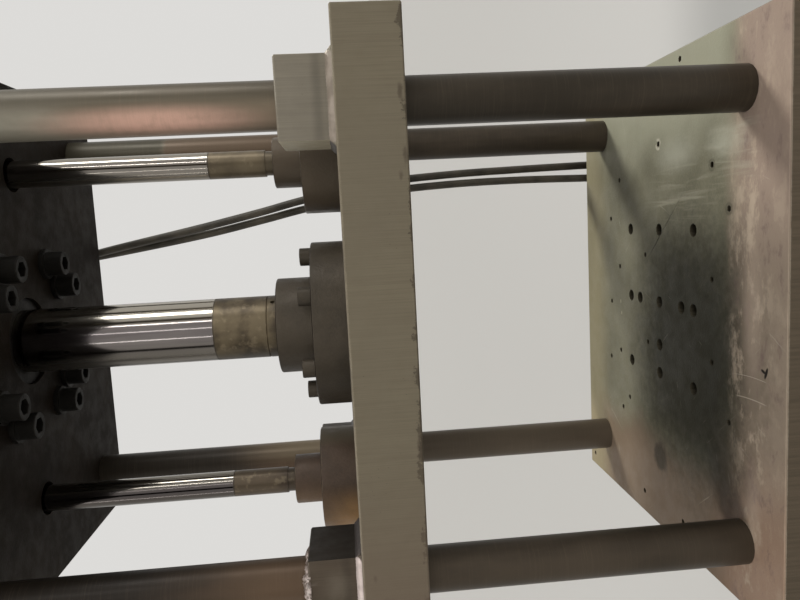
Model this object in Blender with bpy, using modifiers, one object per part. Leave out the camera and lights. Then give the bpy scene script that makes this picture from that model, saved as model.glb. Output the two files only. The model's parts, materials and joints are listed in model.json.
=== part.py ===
"""A four-column hydraulic press: bed, columns, crown, guided platen, main ram and two return rods.

Metres, +Z up, origin on the floor under the middle of the bed. The operator stands on the -Y side.
"""

import math

import bmesh
import bpy
from mathutils import Matrix, Vector

# Clearances
SEAT_GAP = 0.0003
SLIDE_CLEARANCE = 0.0004
BOLT_CLEARANCE = 0.0012

# Plates: the bed, the platen and the crown share one outline
PLATE_WIDTH = 1.325
PLATE_DEPTH = 1.138
BED_TOP = 0.762
BED_THICKNESS = 0.152
PLATEN_THICKNESS = 0.133
CROWN_THICKNESS = 0.152
DAYLIGHT = 0.743
DAYLIGHT_TO_CROWN = 1.712
PLATE_EDGE_BREAK = 0.003

# Columns and their nuts
COLUMN_EDGE_X = 0.1535
COLUMN_EDGE_Y = 0.156
COLUMN_DIAMETER = 0.1016
COLUMN_SHOULDER = 0.00635
COLUMN_CHAMFER = 0.004
COLUMN_PAST_NUT = 0.0127
NUT_ACROSS_FLATS = 0.1365
NUT_HEIGHT = 0.0889
NUT_CHAMFER_DEGREES = 30.0
NUT_FACE_STEP = 0.002

# Legs: an angle section on a foot plate at each corner, just inside the edge of the bed
LEG_WIDTH = 0.203
LEG_WALL = 0.0254
FOOT_INSET = 0.004
FOOT_MARGIN = 0.014
FOOT_SIZE = 0.254
FOOT_THICKNESS = 0.0254
FOOT_HOLE_DIAMETER = 0.022
FOOT_HOLE_INSET = 0.045

# Travel of the platen from the height in which it is modelled
TRAVEL_DOWN = 0.3048
TRAVEL_UP = 0.4572
PISTON_END_CLEARANCE = 0.0127

# Guide blocks welded on the platen, with a bronze bush in each
BLOCK_WALL = 0.0186
BLOCK_HEIGHT = 0.1126
BLOCK_CHAMFER = 0.003
WELD_LEG = 0.012
BUSH_WALL = 0.0127
BUSH_BELOW = 0.006
BUSH_ABOVE = 0.004

# Main ram, its collar and its flange on the platen
RAM_DIAMETER = 0.1651
RAM_CHAMFER = 0.003
RAM_GROOVE_ABOVE_COLLAR = 0.026
RAM_GROOVE_WIDTH = 0.003
RAM_GROOVE_DEPTH = 0.0015
SPANNER_HOLE_DIAMETER = 0.012
SPANNER_HOLE_DEPTH = 0.012
SPANNER_HOLE_ABOVE_COLLAR = 0.0125
SPANNER_HOLE_DEGREES = -32.0
MAIN_FLANGE_THICKNESS = 0.087
MAIN_COLLAR_WALL = 0.04445
MAIN_COLLAR_HEIGHT = 0.0955
HUB_CHAMFER = 0.002

# Cap screws that hold the main flange
FLANGE_SCREW_COUNT = 6
FLANGE_SCREW_TO_COLLAR = 0.0302
FLANGE_SCREW_EDGE = 0.038
FLANGE_SCREW_DIAMETER = 0.03175
FLANGE_SCREW_HEAD_DIAMETER = 0.0476
FLANGE_SCREW_HEAD_HEIGHT = 0.0318
FLANGE_SCREW_IN_PLATEN = 0.048
FLANGE_SCREW_SOCKET = 0.0254
SCREW_HEAD_CHAMFER = 0.0015

# Main cylinder on the crown
MAIN_BORE = 0.3048
MAIN_WALL = 0.0381
MAIN_FOOT_THICKNESS = 0.0635
MAIN_PISTON_THICKNESS = 0.0889
MAIN_GLAND_WALL = 0.03175
MAIN_GLAND_FLANGE = 0.0381
MAIN_GLAND_RECESS = 0.010
MAIN_CAP_THICKNESS = 0.0762
MAIN_CAP_SPIGOT = 0.012
MAIN_CAP_SCREW_COUNT = 8
MAIN_CAP_SCREW_DIAMETER = 0.030
MAIN_CAP_SCREW_HEIGHT = 0.020
CYLINDER_CHAMFER = 0.004

# Cap screws under the crown: pairs round the ram, with washers
CROWN_SCREW_CIRCLE = 0.468
CROWN_SCREW_EDGE = 0.0454
CROWN_SCREW_DIAMETER = 0.04445
CROWN_SCREW_HEAD_DIAMETER = 0.0667
CROWN_SCREW_HEAD_HEIGHT = 0.0445
CROWN_SCREW_SOCKET = 0.0349
CROWN_SCREW_IN_FOOT = 0.045
WASHER_DIAMETER = 0.084
WASHER_THICKNESS = 0.0127
WASHER_SPACE = 0.0073

# Return rods at the two sides, their hubs on the platen and their cylinders
RETURN_FLANGE_SPACE = 0.077
RETURN_ROD_DIAMETER = 0.0699
RETURN_THREAD_STEP = 0.0032
RETURN_THREAD_SHOWS = 0.022
RETURN_FLANGE_DIAMETER = 0.272
RETURN_FLANGE_THICKNESS = 0.094
RETURN_COLLAR_DIAMETER = 0.132
RETURN_COLLAR_HEIGHT = 0.074
RETURN_BORE = 0.1016
RETURN_WALL = 0.0127
RETURN_GLAND_LENGTH = 0.085
RETURN_PISTON_THICKNESS = 0.0508
RETURN_CAP_THICKNESS = 0.0381
RETURN_FOOT_DIAMETER = 0.210
RETURN_FOOT_THICKNESS = 0.0318
RETURN_FOOT_SCREW_COUNT = 4
RETURN_FOOT_SCREW_DIAMETER = 0.028
RETURN_FOOT_SCREW_HEIGHT = 0.018
RETURN_CROWN_HOLE_CLEARANCE = 0.0095
PORT_BOSS_DIAMETER = 0.040
PORT_BOSS_REACH = 0.022

# Pipe that joins the two return cylinders behind the main one
PIPE_DIAMETER = 0.0267
PIPE_BEND_RADIUS = 0.036
PIPE_TO_NUTS = 0.0055
PIPE_NUT_DIAMETER = 0.038
PIPE_NUT_LENGTH = 0.024
TEE_X = 0.170
TEE_SIZE = 0.042
TEE_LENGTH = 0.060

# Hoses, which leave their fittings towards +Y
HOSE_DIAMETER = 0.027
HOSE_LEAD = 0.084
HOSE_RUN_IN = 0.060
HOSE_POINT_SPACING = 0.081
FERRULE_DIAMETER = 0.036
FERRULE_LENGTH = 0.055
ELBOW_DIAMETER = 0.032
ELBOW_BEND_RADIUS = 0.036
ELBOW_HEX_ACROSS_FLATS = 0.046
ELBOW_HEX_HEIGHT = 0.024
COIL_DIAMETERS_ACROSS = 11.0
END_NUT_DIAMETER = 0.037
END_NUT_LENGTH = 0.026
END_STEM_LENGTH = 0.040
TAIL_LIFT = 0.006

# Tapped holes in the top of the bed, in inches from its middle
INCH = 0.0254
BIG_HOLE_DIAMETER = 0.034
BIG_HOLE_DEPTH = 0.060
BIG_HOLES = (
    (-8, -7.5), (0, -7.5), (8, -7.5),
    (-8, 0), (-4.8, 0), (0, 0), (8, 0),
    (0, -5), (0, 5),
    (-8, 7.5), (0, 7.5), (8, 7.5),
)
SMALL_HOLE_DIAMETER = 0.0155
SMALL_HOLE_DEPTH = 0.032
DRILLED_PAST_SCREW = 0.006
SMALL_HOLES = (
    (-8.8, 14.1), (-1.4, 13.7), (9.25, 13.6), (-14.7, 10.4), (-12.9, 8.3),
    (-7.4, 10.9), (3.3, 10.9), (14, 10.7), (-5, 3), (5.1, 3.5),
    (-4.6, -11), (3.4, -11), (10, -13.9), (14.1, -11), (17.2, 0), (-9.6, -14),
)

# Tapped holes near the left and right edges: side, inches in from that edge, inches from the middle line
SIDE_HOLES = ((-1, 2.58, 4.3), (-1, 2.88, -5.2), (-1, 1.68, 20.8), (1, 1.08, -4.9))

# Facets round a full turn
COLUMN_SEGMENTS = 20
MAIN_SEGMENTS = 32
RETURN_SEGMENTS = 20
SCREW_SEGMENTS = 12
HOLE_SEGMENTS = 10
SMALL_HOLE_SEGMENTS = 6
PIPE_SEGMENTS = 10
COIL_SEGMENTS = 36
TUBE_RESOLUTION = 2
BEND_STEPS = 5
ROUTE_STEPS = 24
SHARP_EDGE_DEGREES = 35.0
POINT_MERGE = 0.00002

# Heights and places that follow from the sizes above
BED_BOTTOM = BED_TOP - BED_THICKNESS
PLATEN_BOTTOM = BED_TOP + DAYLIGHT
PLATEN_TOP = PLATEN_BOTTOM + PLATEN_THICKNESS
CROWN_BOTTOM = BED_TOP + DAYLIGHT_TO_CROWN
CROWN_TOP = CROWN_BOTTOM + CROWN_THICKNESS
CORNERS = {
    "front_left": (-1, -1),
    "front_right": (1, -1),
    "rear_left": (-1, 1),
    "rear_right": (1, 1),
}
SIDES = {"left": -1, "right": 1}

COLUMN_X = PLATE_WIDTH / 2 - COLUMN_EDGE_X
COLUMN_Y = PLATE_DEPTH / 2 - COLUMN_EDGE_Y
SPIGOT_RADIUS = COLUMN_DIAMETER / 2 - COLUMN_SHOULDER
BUSH_OUTER_RADIUS = COLUMN_DIAMETER / 2 + SLIDE_CLEARANCE + BUSH_WALL
BLOCK_SIZE = 2 * (BUSH_OUTER_RADIUS + BLOCK_WALL)
MAIN_COLLAR_RADIUS = RAM_DIAMETER / 2 + MAIN_COLLAR_WALL
FLANGE_SCREW_CIRCLE = 2 * (MAIN_COLLAR_RADIUS + FLANGE_SCREW_TO_COLLAR) + FLANGE_SCREW_HEAD_DIAMETER
MAIN_FLANGE_RADIUS = FLANGE_SCREW_CIRCLE / 2 + FLANGE_SCREW_EDGE
MAIN_COLLAR_BASE = PLATEN_TOP + MAIN_FLANGE_THICKNESS + 2 * SEAT_GAP
MAIN_COLLAR_TOP = MAIN_COLLAR_BASE + MAIN_COLLAR_HEIGHT
MAIN_FOOT_RADIUS = CROWN_SCREW_CIRCLE / 2 + CROWN_SCREW_EDGE
MAIN_GLAND_RADIUS = RAM_DIAMETER / 2 + MAIN_GLAND_WALL
GLAND_TOP = CROWN_TOP + SEAT_GAP + MAIN_GLAND_FLANGE
MAIN_PISTON_BASE = GLAND_TOP + PISTON_END_CLEARANCE + TRAVEL_DOWN
MAIN_PISTON_TOP = MAIN_PISTON_BASE + MAIN_PISTON_THICKNESS
MAIN_TUBE_TOP = MAIN_PISTON_TOP + TRAVEL_UP + PISTON_END_CLEARANCE + MAIN_CAP_SPIGOT
MAIN_OUTER_RADIUS = MAIN_BORE / 2 + MAIN_WALL
MAIN_CAP_TOP = MAIN_TUBE_TOP + SEAT_GAP + MAIN_CAP_THICKNESS

RETURN_X = MAIN_FLANGE_RADIUS + RETURN_FLANGE_SPACE + RETURN_FLANGE_DIAMETER / 2
RETURN_THREAD_RADIUS = RETURN_ROD_DIAMETER / 2 - RETURN_THREAD_STEP
RETURN_BASE = CROWN_TOP + SEAT_GAP
RETURN_BORE_BASE = RETURN_BASE + RETURN_GLAND_LENGTH
RETURN_PISTON_BASE = RETURN_BORE_BASE + PISTON_END_CLEARANCE + TRAVEL_DOWN
RETURN_PISTON_TOP = RETURN_PISTON_BASE + RETURN_PISTON_THICKNESS
RETURN_BORE_TOP = RETURN_PISTON_TOP + TRAVEL_UP + PISTON_END_CLEARANCE
RETURN_OUTER_RADIUS = RETURN_BORE / 2 + RETURN_WALL
RETURN_PORT_Z = RETURN_BORE_BASE + PISTON_END_CLEARANCE / 2
RETURN_PORT_Y = RETURN_OUTER_RADIUS + PORT_BOSS_REACH
PIPE_BACK = COLUMN_Y - NUT_ACROSS_FLATS / math.sqrt(3.0) - PIPE_TO_NUTS - PIPE_DIAMETER / 2
PIPE_NUT_FRONT = PIPE_BACK - PIPE_BEND_RADIUS - PIPE_NUT_LENGTH / 2

HOSE_RADIUS = HOSE_DIAMETER / 2
COIL_RADIUS = HOSE_DIAMETER * COIL_DIAMETERS_ACROSS / 2
ELBOW_Z = MAIN_CAP_TOP + ELBOW_HEX_HEIGHT + ELBOW_BEND_RADIUS
PRESSING_HOSE_EXIT = Vector((0.0, ELBOW_BEND_RADIUS + FERRULE_LENGTH, ELBOW_Z))
RETURN_HOSE_EXIT = Vector((TEE_X, PIPE_BACK + TEE_SIZE / 2 + FERRULE_LENGTH, RETURN_PORT_Z))

# Where each hose runs after its fitting: over the back of the crown, down behind the press, to its coil
PRESSING_ROUTE = (
    (0.003, 0.210, 3.680), (0.020, 0.325, 3.635), (0.052, 0.435, 3.540), (0.090, 0.530, 3.390),
    (0.122, 0.600, 3.190), (0.148, 0.645, 2.950), (0.170, 0.666, 2.700), (0.196, 0.672, 2.483),
    (0.248, 0.668, 2.144), (0.290, 0.664, 1.930), (0.326, 0.660, 1.759), (0.369, 0.656, 1.500),
    (0.386, 0.653, 1.250), (0.390, 0.652, 1.000), (0.386, 0.651, 0.750), (0.382, 0.651, 0.520),
    (0.374, 0.651, 0.330), (0.352, 0.651, 0.206), (0.308, 0.651, 0.119), (0.244, 0.651, 0.070),
)
PRESSING_COIL = {"centre": (0.02, 0.80), "start_degrees": -90.0, "turns": 1.5}
RETURN_ROUTE = (
    (0.173, 0.558, 2.694), (0.181, 0.617, 2.634), (0.194, 0.640, 2.550), (0.219, 0.642, 2.430),
    (0.274, 0.642, 2.144), (0.319, 0.644, 1.930), (0.358, 0.646, 1.759), (0.403, 0.648, 1.500),
    (0.421, 0.650, 1.250), (0.428, 0.651, 1.000), (0.432, 0.651, 0.750), (0.434, 0.651, 0.500),
    (0.434, 0.651, 0.330), (0.434, 0.651, 0.208), (0.427, 0.671, 0.133), (0.407, 0.725, 0.082),
)
RETURN_COIL = {"centre": (0.475, 0.975), "start_degrees": -160.0, "turns": 2.0}


def clear_scene():
    for obj in list(bpy.data.objects):
        bpy.data.objects.remove(obj, do_unlink=True)


def make_collection(name):
    collection = bpy.data.collections.new(name)
    bpy.context.scene.collection.children.link(collection)
    return collection


def make_material(name, colour, metallic, roughness):
    material = bpy.data.materials.new(name)
    material.use_nodes = True
    shader = material.node_tree.nodes["Principled BSDF"]
    shader.inputs["Base Color"].default_value = (*colour, 1.0)
    shader.inputs["Metallic"].default_value = metallic
    shader.inputs["Roughness"].default_value = roughness
    material.diffuse_color = (*colour, 1.0)
    return material


def move_to(obj, collection):
    for old in list(obj.users_collection):
        old.objects.unlink(obj)
    collection.objects.link(obj)
    return obj


def new_object(name, mesh, collection):
    obj = bpy.data.objects.new(name, mesh)
    collection.objects.link(obj)
    return obj


def turned(name, profile, segments, collection, closed=False, location=(0.0, 0.0, 0.0)):
    """A solid of revolution. The profile lists (radius, height), down the outer side first."""
    mesh = bpy.data.meshes.new(name)
    points = [(radius, 0.0, height) for radius, height in profile]
    edges = [(i, i + 1) for i in range(len(points) - 1)]
    if closed:
        edges.append((len(points) - 1, 0))
    mesh.from_pydata(points, edges, [])
    obj = new_object(name, mesh, collection)
    obj.location = location
    screw = obj.modifiers.new("turn", "SCREW")
    screw.angle = math.tau
    screw.screw_offset = 0.0
    screw.steps = segments
    screw.render_steps = segments
    screw.use_merge_vertices = True
    screw.merge_threshold = POINT_MERGE
    return obj


def box(name, size, centre, collection, edge_break=0.0):
    bpy.ops.mesh.primitive_cube_add(size=1.0)
    obj = bpy.context.active_object
    obj.name = name
    obj.data.name = name
    obj.data.transform(Matrix.Diagonal((*size, 1.0)))
    obj.location = centre
    if edge_break > 0.0:
        bevel = obj.modifiers.new("edge_break", "BEVEL")
        bevel.width = edge_break
        bevel.segments = 1
        bevel.limit_method = "ANGLE"
    return move_to(obj, collection)


def cylinder_along(name, start, end, radius, segments, collection, across_flats=False):
    """A cylinder or prism from start to end. With across_flats, radius is half the flat width."""
    start = Vector(start)
    end = Vector(end)
    axis = end - start
    corner_radius = radius / math.cos(math.pi / segments) if across_flats else radius
    bpy.ops.mesh.primitive_cylinder_add(vertices=segments, radius=corner_radius, depth=axis.length)
    obj = bpy.context.active_object
    obj.name = name
    obj.data.name = name
    obj.rotation_mode = "QUATERNION"
    obj.rotation_quaternion = axis.to_track_quat("Z", "Y")
    obj.location = (start + end) / 2
    return move_to(obj, collection)


def hole_set(name, holes, collection):
    """Upright drills in one mesh. Each hole is (x, y, bottom, top, radius, segments).

    Their facets start at +X, as those of the turned pieces do, so that the gaps stay even.
    """
    work = bmesh.new()
    start_at_x = Matrix.Rotation(math.radians(-90.0), 4, "Z")
    for x, y, bottom, top, radius, segments in holes:
        place = Matrix.Translation((x, y, (bottom + top) / 2)) @ start_at_x
        bmesh.ops.create_cone(
            work, cap_ends=True, segments=segments, radius1=radius, radius2=radius,
            depth=top - bottom, matrix=place,
        )
    mesh = bpy.data.meshes.new(name)
    work.to_mesh(mesh)
    work.free()
    return new_object(name, mesh, collection)


def combine(target, tool, operation):
    """Cuts the tool from the target, or joins it on, and hides the tool."""
    boolean = target.modifiers.new(tool.name, "BOOLEAN")
    boolean.operation = operation
    boolean.solver = "EXACT"
    boolean.object = tool
    tool.hide_render = True
    tool.display_type = "WIRE"
    return target


def solid_copy(obj):
    """The object's evaluated mesh, with loose caps welded."""
    bpy.context.view_layer.update()
    graph = bpy.context.evaluated_depsgraph_get()
    mesh = bpy.data.meshes.new_from_object(obj.evaluated_get(graph))
    work = bmesh.new()
    work.from_mesh(mesh)
    bmesh.ops.remove_doubles(work, verts=work.verts, dist=POINT_MERGE)
    work.to_mesh(mesh)
    work.free()
    return mesh


def curve_tube(name, points, radius, collection):
    """A tube of round section along the points, as a curve with filled caps."""
    curve = bpy.data.curves.new(name, "CURVE")
    curve.dimensions = "3D"
    curve.bevel_depth = radius
    curve.bevel_resolution = TUBE_RESOLUTION
    curve.use_fill_caps = True
    spline = curve.splines.new("POLY")
    spline.points.add(len(points) - 1)
    for knot, place in zip(spline.points, points):
        knot.co = (*place, 1.0)
    return new_object(name, curve, collection)


def mesh_tube(name, points, radius, collection):
    """The same tube as a mesh, so that it can be joined to other solids."""
    source = curve_tube(name + "_line", points, radius, collection)
    mesh = solid_copy(source)
    place = source.matrix_world.copy()
    bpy.data.objects.remove(source)
    obj = new_object(name, mesh, collection)
    obj.matrix_world = place
    return obj


def finish(obj, material):
    """Settles the modifiers into the mesh, shades it and gives it its material."""
    if obj.type == "MESH":
        mesh = solid_copy(obj)
        obj.modifiers.clear()
        obj.data = mesh
        mesh.name = obj.name
        mesh.materials.clear()
        mesh.materials.append(material)
        mesh.shade_smooth()
        mesh.set_sharp_from_angle(angle=math.radians(SHARP_EDGE_DEGREES))
    else:
        obj.data.materials.append(material)
    return obj


def ring_places(count, circle, start_degrees=0.0):
    """Evenly spaced (x, y) places on a circle of that diameter."""
    step = math.tau / count
    first = math.radians(start_degrees)
    return [
        (circle / 2 * math.cos(first + step * i), circle / 2 * math.sin(first + step * i))
        for i in range(count)
    ]


def corner_place(signs):
    return signs[0] * COLUMN_X, signs[1] * COLUMN_Y


def crown_screw_places():
    """Four pairs, one pair to each diagonal, with a little space between the two washers."""
    reach = CROWN_SCREW_CIRCLE / 2
    half_spread = math.asin((WASHER_DIAMETER + WASHER_SPACE) / 2 / reach)
    places = []
    for quarter in range(4):
        for side in (-1, 1):
            angle = math.radians(45.0 + 90.0 * quarter) + side * half_spread
            places.append((reach * math.cos(angle), reach * math.sin(angle)))
    return places


def column_holes(bottom, top, radius):
    return [
        (*corner_place(signs), bottom, top, radius, COLUMN_SEGMENTS)
        for signs in CORNERS.values()
    ]


def plate(name, bottom, thickness, collection):
    centre = (0.0, 0.0, bottom + thickness / 2)
    return box(name, (PLATE_WIDTH, PLATE_DEPTH, thickness), centre, collection, PLATE_EDGE_BREAK)


def build_bed(parts, cutters, material):
    bed = plate("bed_plate", BED_BOTTOM, BED_THICKNESS, parts)
    over = BED_THICKNESS / 4
    holes = column_holes(BED_BOTTOM - over, BED_TOP + over, SPIGOT_RADIUS + SEAT_GAP)
    for x, y in BIG_HOLES:
        holes.append((x * INCH, y * INCH, BED_TOP - BIG_HOLE_DEPTH, BED_TOP + over,
                      BIG_HOLE_DIAMETER / 2, HOLE_SEGMENTS))
    small = [(x * INCH, y * INCH) for x, y in SMALL_HOLES]
    small += [(side * (PLATE_WIDTH / 2 - inset * INCH), y * INCH) for side, inset, y in SIDE_HOLES]
    for x, y in small:
        holes.append((x, y, BED_TOP - SMALL_HOLE_DEPTH, BED_TOP + over,
                      SMALL_HOLE_DIAMETER / 2, SMALL_HOLE_SEGMENTS))
    combine(bed, hole_set("bed_drills", holes, cutters), "DIFFERENCE")
    return finish(bed, material)


def build_leg(corner, signs, parts, cutters, material):
    """An angle with its heel at the corner of the bed, on a drilled foot plate."""
    sign_x, sign_y = signs
    edge_x = PLATE_WIDTH / 2 - FOOT_INSET
    edge_y = PLATE_DEPTH / 2 - FOOT_INSET
    low = FOOT_THICKNESS / 2
    high = BED_BOTTOM - SEAT_GAP
    middle = FOOT_MARGIN + LEG_WIDTH / 2
    post_centre = (sign_x * (edge_x - middle), sign_y * (edge_y - middle), (low + high) / 2)
    leg = box("leg_" + corner, (LEG_WIDTH, LEG_WIDTH, high - low), post_centre, parts)
    inside = middle + LEG_WALL
    hollow_centre = (sign_x * (edge_x - inside), sign_y * (edge_y - inside), (low + high) / 2)
    hollow = box(f"leg_{corner}_inside", (LEG_WIDTH, LEG_WIDTH, 2 * high), hollow_centre, cutters)
    combine(leg, hollow, "DIFFERENCE")
    foot_centre = (
        sign_x * (edge_x - FOOT_SIZE / 2), sign_y * (edge_y - FOOT_SIZE / 2), FOOT_THICKNESS / 2,
    )
    foot = box(f"leg_{corner}_foot", (FOOT_SIZE, FOOT_SIZE, FOOT_THICKNESS), foot_centre, cutters)
    combine(leg, foot, "UNION")
    near = FOOT_MARGIN + LEG_WALL + FOOT_HOLE_INSET
    far = FOOT_SIZE - FOOT_HOLE_INSET
    holes = [
        (sign_x * (edge_x - x), sign_y * (edge_y - y), -FOOT_THICKNESS, 2 * FOOT_THICKNESS,
         FOOT_HOLE_DIAMETER / 2, HOLE_SEGMENTS)
        for x, y in ((far, near), (near, far))
    ]
    combine(leg, hole_set(f"leg_{corner}_drills", holes, cutters), "DIFFERENCE")
    return finish(leg, material)


def build_column(corner, signs, parts, material):
    """A shouldered column: a turned-down end passes each plate and takes a nut outside it."""
    past = SEAT_GAP + NUT_HEIGHT + COLUMN_PAST_NUT
    bottom = BED_BOTTOM - past
    top = CROWN_TOP + past
    spigot = SPIGOT_RADIUS
    body = COLUMN_DIAMETER / 2
    profile = [
        (0.0, top), (spigot - COLUMN_CHAMFER, top), (spigot, top - COLUMN_CHAMFER),
        (spigot, CROWN_BOTTOM - SEAT_GAP), (body, CROWN_BOTTOM - SEAT_GAP),
        (body, BED_TOP + SEAT_GAP), (spigot, BED_TOP + SEAT_GAP),
        (spigot, bottom + COLUMN_CHAMFER), (spigot - COLUMN_CHAMFER, bottom), (0.0, bottom),
    ]
    x, y = corner_place(signs)
    column = turned("column_" + corner, profile, COLUMN_SEGMENTS, parts, location=(x, y, 0.0))
    return finish(column, material)


def build_nut(name, signs, seat, outward, parts, cutters, material):
    """A hexagon nut that sits on a plate face. outward is +1 above the crown, -1 below the bed."""
    x, y = corner_place(signs)
    near = seat + outward * SEAT_GAP
    far = near + outward * NUT_HEIGHT
    low, high = sorted((near, far))
    nut = cylinder_along(name, (x, y, low), (x, y, high), NUT_ACROSS_FLATS / 2, 6, parts, True)
    slope = math.tan(math.radians(90.0 - NUT_CHAMFER_DEGREES))
    face = NUT_ACROSS_FLATS / 2 - NUT_FACE_STEP
    wide = NUT_ACROSS_FLATS * 0.6
    over = NUT_HEIGHT / 8
    cone = [
        (0.0, over), (face - over * slope, over), (wide, (face - wide) / slope),
        (wide, -NUT_HEIGHT - over), (0.0, -NUT_HEIGHT - over),
    ]
    if outward < 0:
        cone = [(radius, -height) for radius, height in reversed(cone)]
    trim = turned(name + "_trim", cone, COLUMN_SEGMENTS, cutters, location=(x, y, far))
    combine(nut, trim, "INTERSECT")
    bore = (x, y, low - over, high + over, SPIGOT_RADIUS + SEAT_GAP, COLUMN_SEGMENTS)
    combine(nut, hole_set(name + "_bore", [bore], cutters), "DIFFERENCE")
    return finish(nut, material)


def build_crown(parts, cutters, material):
    crown = plate("crown_plate", CROWN_BOTTOM, CROWN_THICKNESS, parts)
    over = CROWN_THICKNESS / 4
    low = CROWN_BOTTOM - over
    high = CROWN_TOP + over
    holes = column_holes(low, high, SPIGOT_RADIUS + SEAT_GAP)
    holes.append((0.0, 0.0, low, high, MAIN_GLAND_RADIUS + SEAT_GAP, MAIN_SEGMENTS))
    rod_hole = RETURN_ROD_DIAMETER / 2 + RETURN_CROWN_HOLE_CLEARANCE
    for side in SIDES.values():
        holes.append((side * RETURN_X, 0.0, low, high, rod_hole, RETURN_SEGMENTS))
    for x, y in crown_screw_places():
        holes.append((x, y, low, high, CROWN_SCREW_DIAMETER / 2 + BOLT_CLEARANCE, SCREW_SEGMENTS))
    combine(crown, hole_set("crown_drills", holes, cutters), "DIFFERENCE")
    return finish(crown, material)


def build_platen(parts, cutters, material):
    platen = plate("platen_plate", PLATEN_BOTTOM, PLATEN_THICKNESS, parts)
    over = PLATEN_THICKNESS / 4
    holes = column_holes(PLATEN_BOTTOM - over, PLATEN_TOP + over, BUSH_OUTER_RADIUS + SEAT_GAP)
    depth = FLANGE_SCREW_IN_PLATEN + DRILLED_PAST_SCREW
    for x, y in ring_places(FLANGE_SCREW_COUNT, FLANGE_SCREW_CIRCLE):
        holes.append((x, y, PLATEN_TOP - depth, PLATEN_TOP + over,
                      FLANGE_SCREW_DIAMETER / 2 + SEAT_GAP, SCREW_SEGMENTS))
    combine(platen, hole_set("platen_drills", holes, cutters), "DIFFERENCE")
    return finish(platen, material)


def build_block(corner, signs, parts, cutters, material):
    """A square guide block with a weld run round its foot, bored for its bush."""
    x, y = corner_place(signs)
    corner_factor = math.sqrt(2.0)
    half = BLOCK_SIZE / 2 * corner_factor
    profile = [
        (0.0, BLOCK_HEIGHT), (half - BLOCK_CHAMFER * corner_factor, BLOCK_HEIGHT),
        (half, BLOCK_HEIGHT - BLOCK_CHAMFER), (half, WELD_LEG),
        (half + WELD_LEG * corner_factor, 0.0), (0.0, 0.0),
    ]
    name = "guide_block_" + corner
    place = (x, y, PLATEN_TOP + SEAT_GAP)
    block = turned(name, profile, 4, parts, location=place)
    block.rotation_euler = (0.0, 0.0, math.radians(45.0))
    bore = (x, y, PLATEN_TOP - BLOCK_HEIGHT, PLATEN_TOP + 2 * BLOCK_HEIGHT,
            BUSH_OUTER_RADIUS + SEAT_GAP, COLUMN_SEGMENTS)
    combine(block, hole_set(name + "_bore", [bore], cutters), "DIFFERENCE")
    return finish(block, material)


def build_bush(corner, signs, parts, material):
    x, y = corner_place(signs)
    inner = COLUMN_DIAMETER / 2 + SLIDE_CLEARANCE
    low = PLATEN_BOTTOM + BUSH_BELOW
    high = PLATEN_TOP + SEAT_GAP + BLOCK_HEIGHT - BUSH_ABOVE
    profile = [(BUSH_OUTER_RADIUS, high), (BUSH_OUTER_RADIUS, low), (inner, low), (inner, high)]
    name = "guide_bush_" + corner
    bush = turned(name, profile, COLUMN_SEGMENTS, parts, closed=True, location=(x, y, 0.0))
    return finish(bush, material)


def build_ram(parts, cutters, material):
    """The main ram, from the platen up to the piston in the cylinder."""
    radius = RAM_DIAMETER / 2
    piston = MAIN_BORE / 2 - SLIDE_CLEARANCE
    groove = MAIN_COLLAR_TOP + RAM_GROOVE_ABOVE_COLLAR
    deep = radius - RAM_GROOVE_DEPTH
    low = PLATEN_TOP + SEAT_GAP
    profile = [
        (0.0, MAIN_PISTON_TOP), (piston - RAM_CHAMFER, MAIN_PISTON_TOP),
        (piston, MAIN_PISTON_TOP - RAM_CHAMFER), (piston, MAIN_PISTON_BASE + RAM_CHAMFER),
        (piston - RAM_CHAMFER, MAIN_PISTON_BASE), (radius, MAIN_PISTON_BASE),
        (radius, groove + RAM_GROOVE_WIDTH), (deep, groove + RAM_GROOVE_WIDTH / 2),
        (radius, groove), (radius, low), (0.0, low),
    ]
    ram = turned("main_ram", profile, MAIN_SEGMENTS, parts)
    angle = math.radians(SPANNER_HOLE_DEGREES)
    out = Vector((math.cos(angle), math.sin(angle), 0.0))
    height = Vector((0.0, 0.0, MAIN_COLLAR_TOP + SPANNER_HOLE_ABOVE_COLLAR))
    start = out * (radius - SPANNER_HOLE_DEPTH) + height
    end = out * (radius + SPANNER_HOLE_DEPTH) + height
    drill = cylinder_along("spanner_drill", start, end, SPANNER_HOLE_DIAMETER / 2,
                           HOLE_SEGMENTS, cutters)
    combine(ram, drill, "DIFFERENCE")
    return finish(ram, material)


def build_main_flange(parts, cutters, material):
    radius = MAIN_FLANGE_RADIUS
    inner = RAM_DIAMETER / 2 + SEAT_GAP
    low = PLATEN_TOP + SEAT_GAP
    high = low + MAIN_FLANGE_THICKNESS
    profile = [
        (radius - HUB_CHAMFER, high), (radius, high - HUB_CHAMFER), (radius, low),
        (inner, low), (inner, high),
    ]
    flange = turned("main_flange", profile, MAIN_SEGMENTS, parts, closed=True)
    holes = [
        (x, y, low - MAIN_FLANGE_THICKNESS, high + MAIN_FLANGE_THICKNESS,
         FLANGE_SCREW_DIAMETER / 2 + BOLT_CLEARANCE, SCREW_SEGMENTS)
        for x, y in ring_places(FLANGE_SCREW_COUNT, FLANGE_SCREW_CIRCLE)
    ]
    combine(flange, hole_set("flange_drills", holes, cutters), "DIFFERENCE")
    return finish(flange, material)


def build_main_collar(parts, material):
    radius = MAIN_COLLAR_RADIUS
    inner = RAM_DIAMETER / 2 + SEAT_GAP
    profile = [
        (radius - HUB_CHAMFER, MAIN_COLLAR_TOP), (radius, MAIN_COLLAR_TOP - HUB_CHAMFER),
        (radius, MAIN_COLLAR_BASE), (inner, MAIN_COLLAR_BASE), (inner, MAIN_COLLAR_TOP),
    ]
    collar = turned("main_collar", profile, MAIN_SEGMENTS, parts, closed=True)
    return finish(collar, material)


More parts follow.
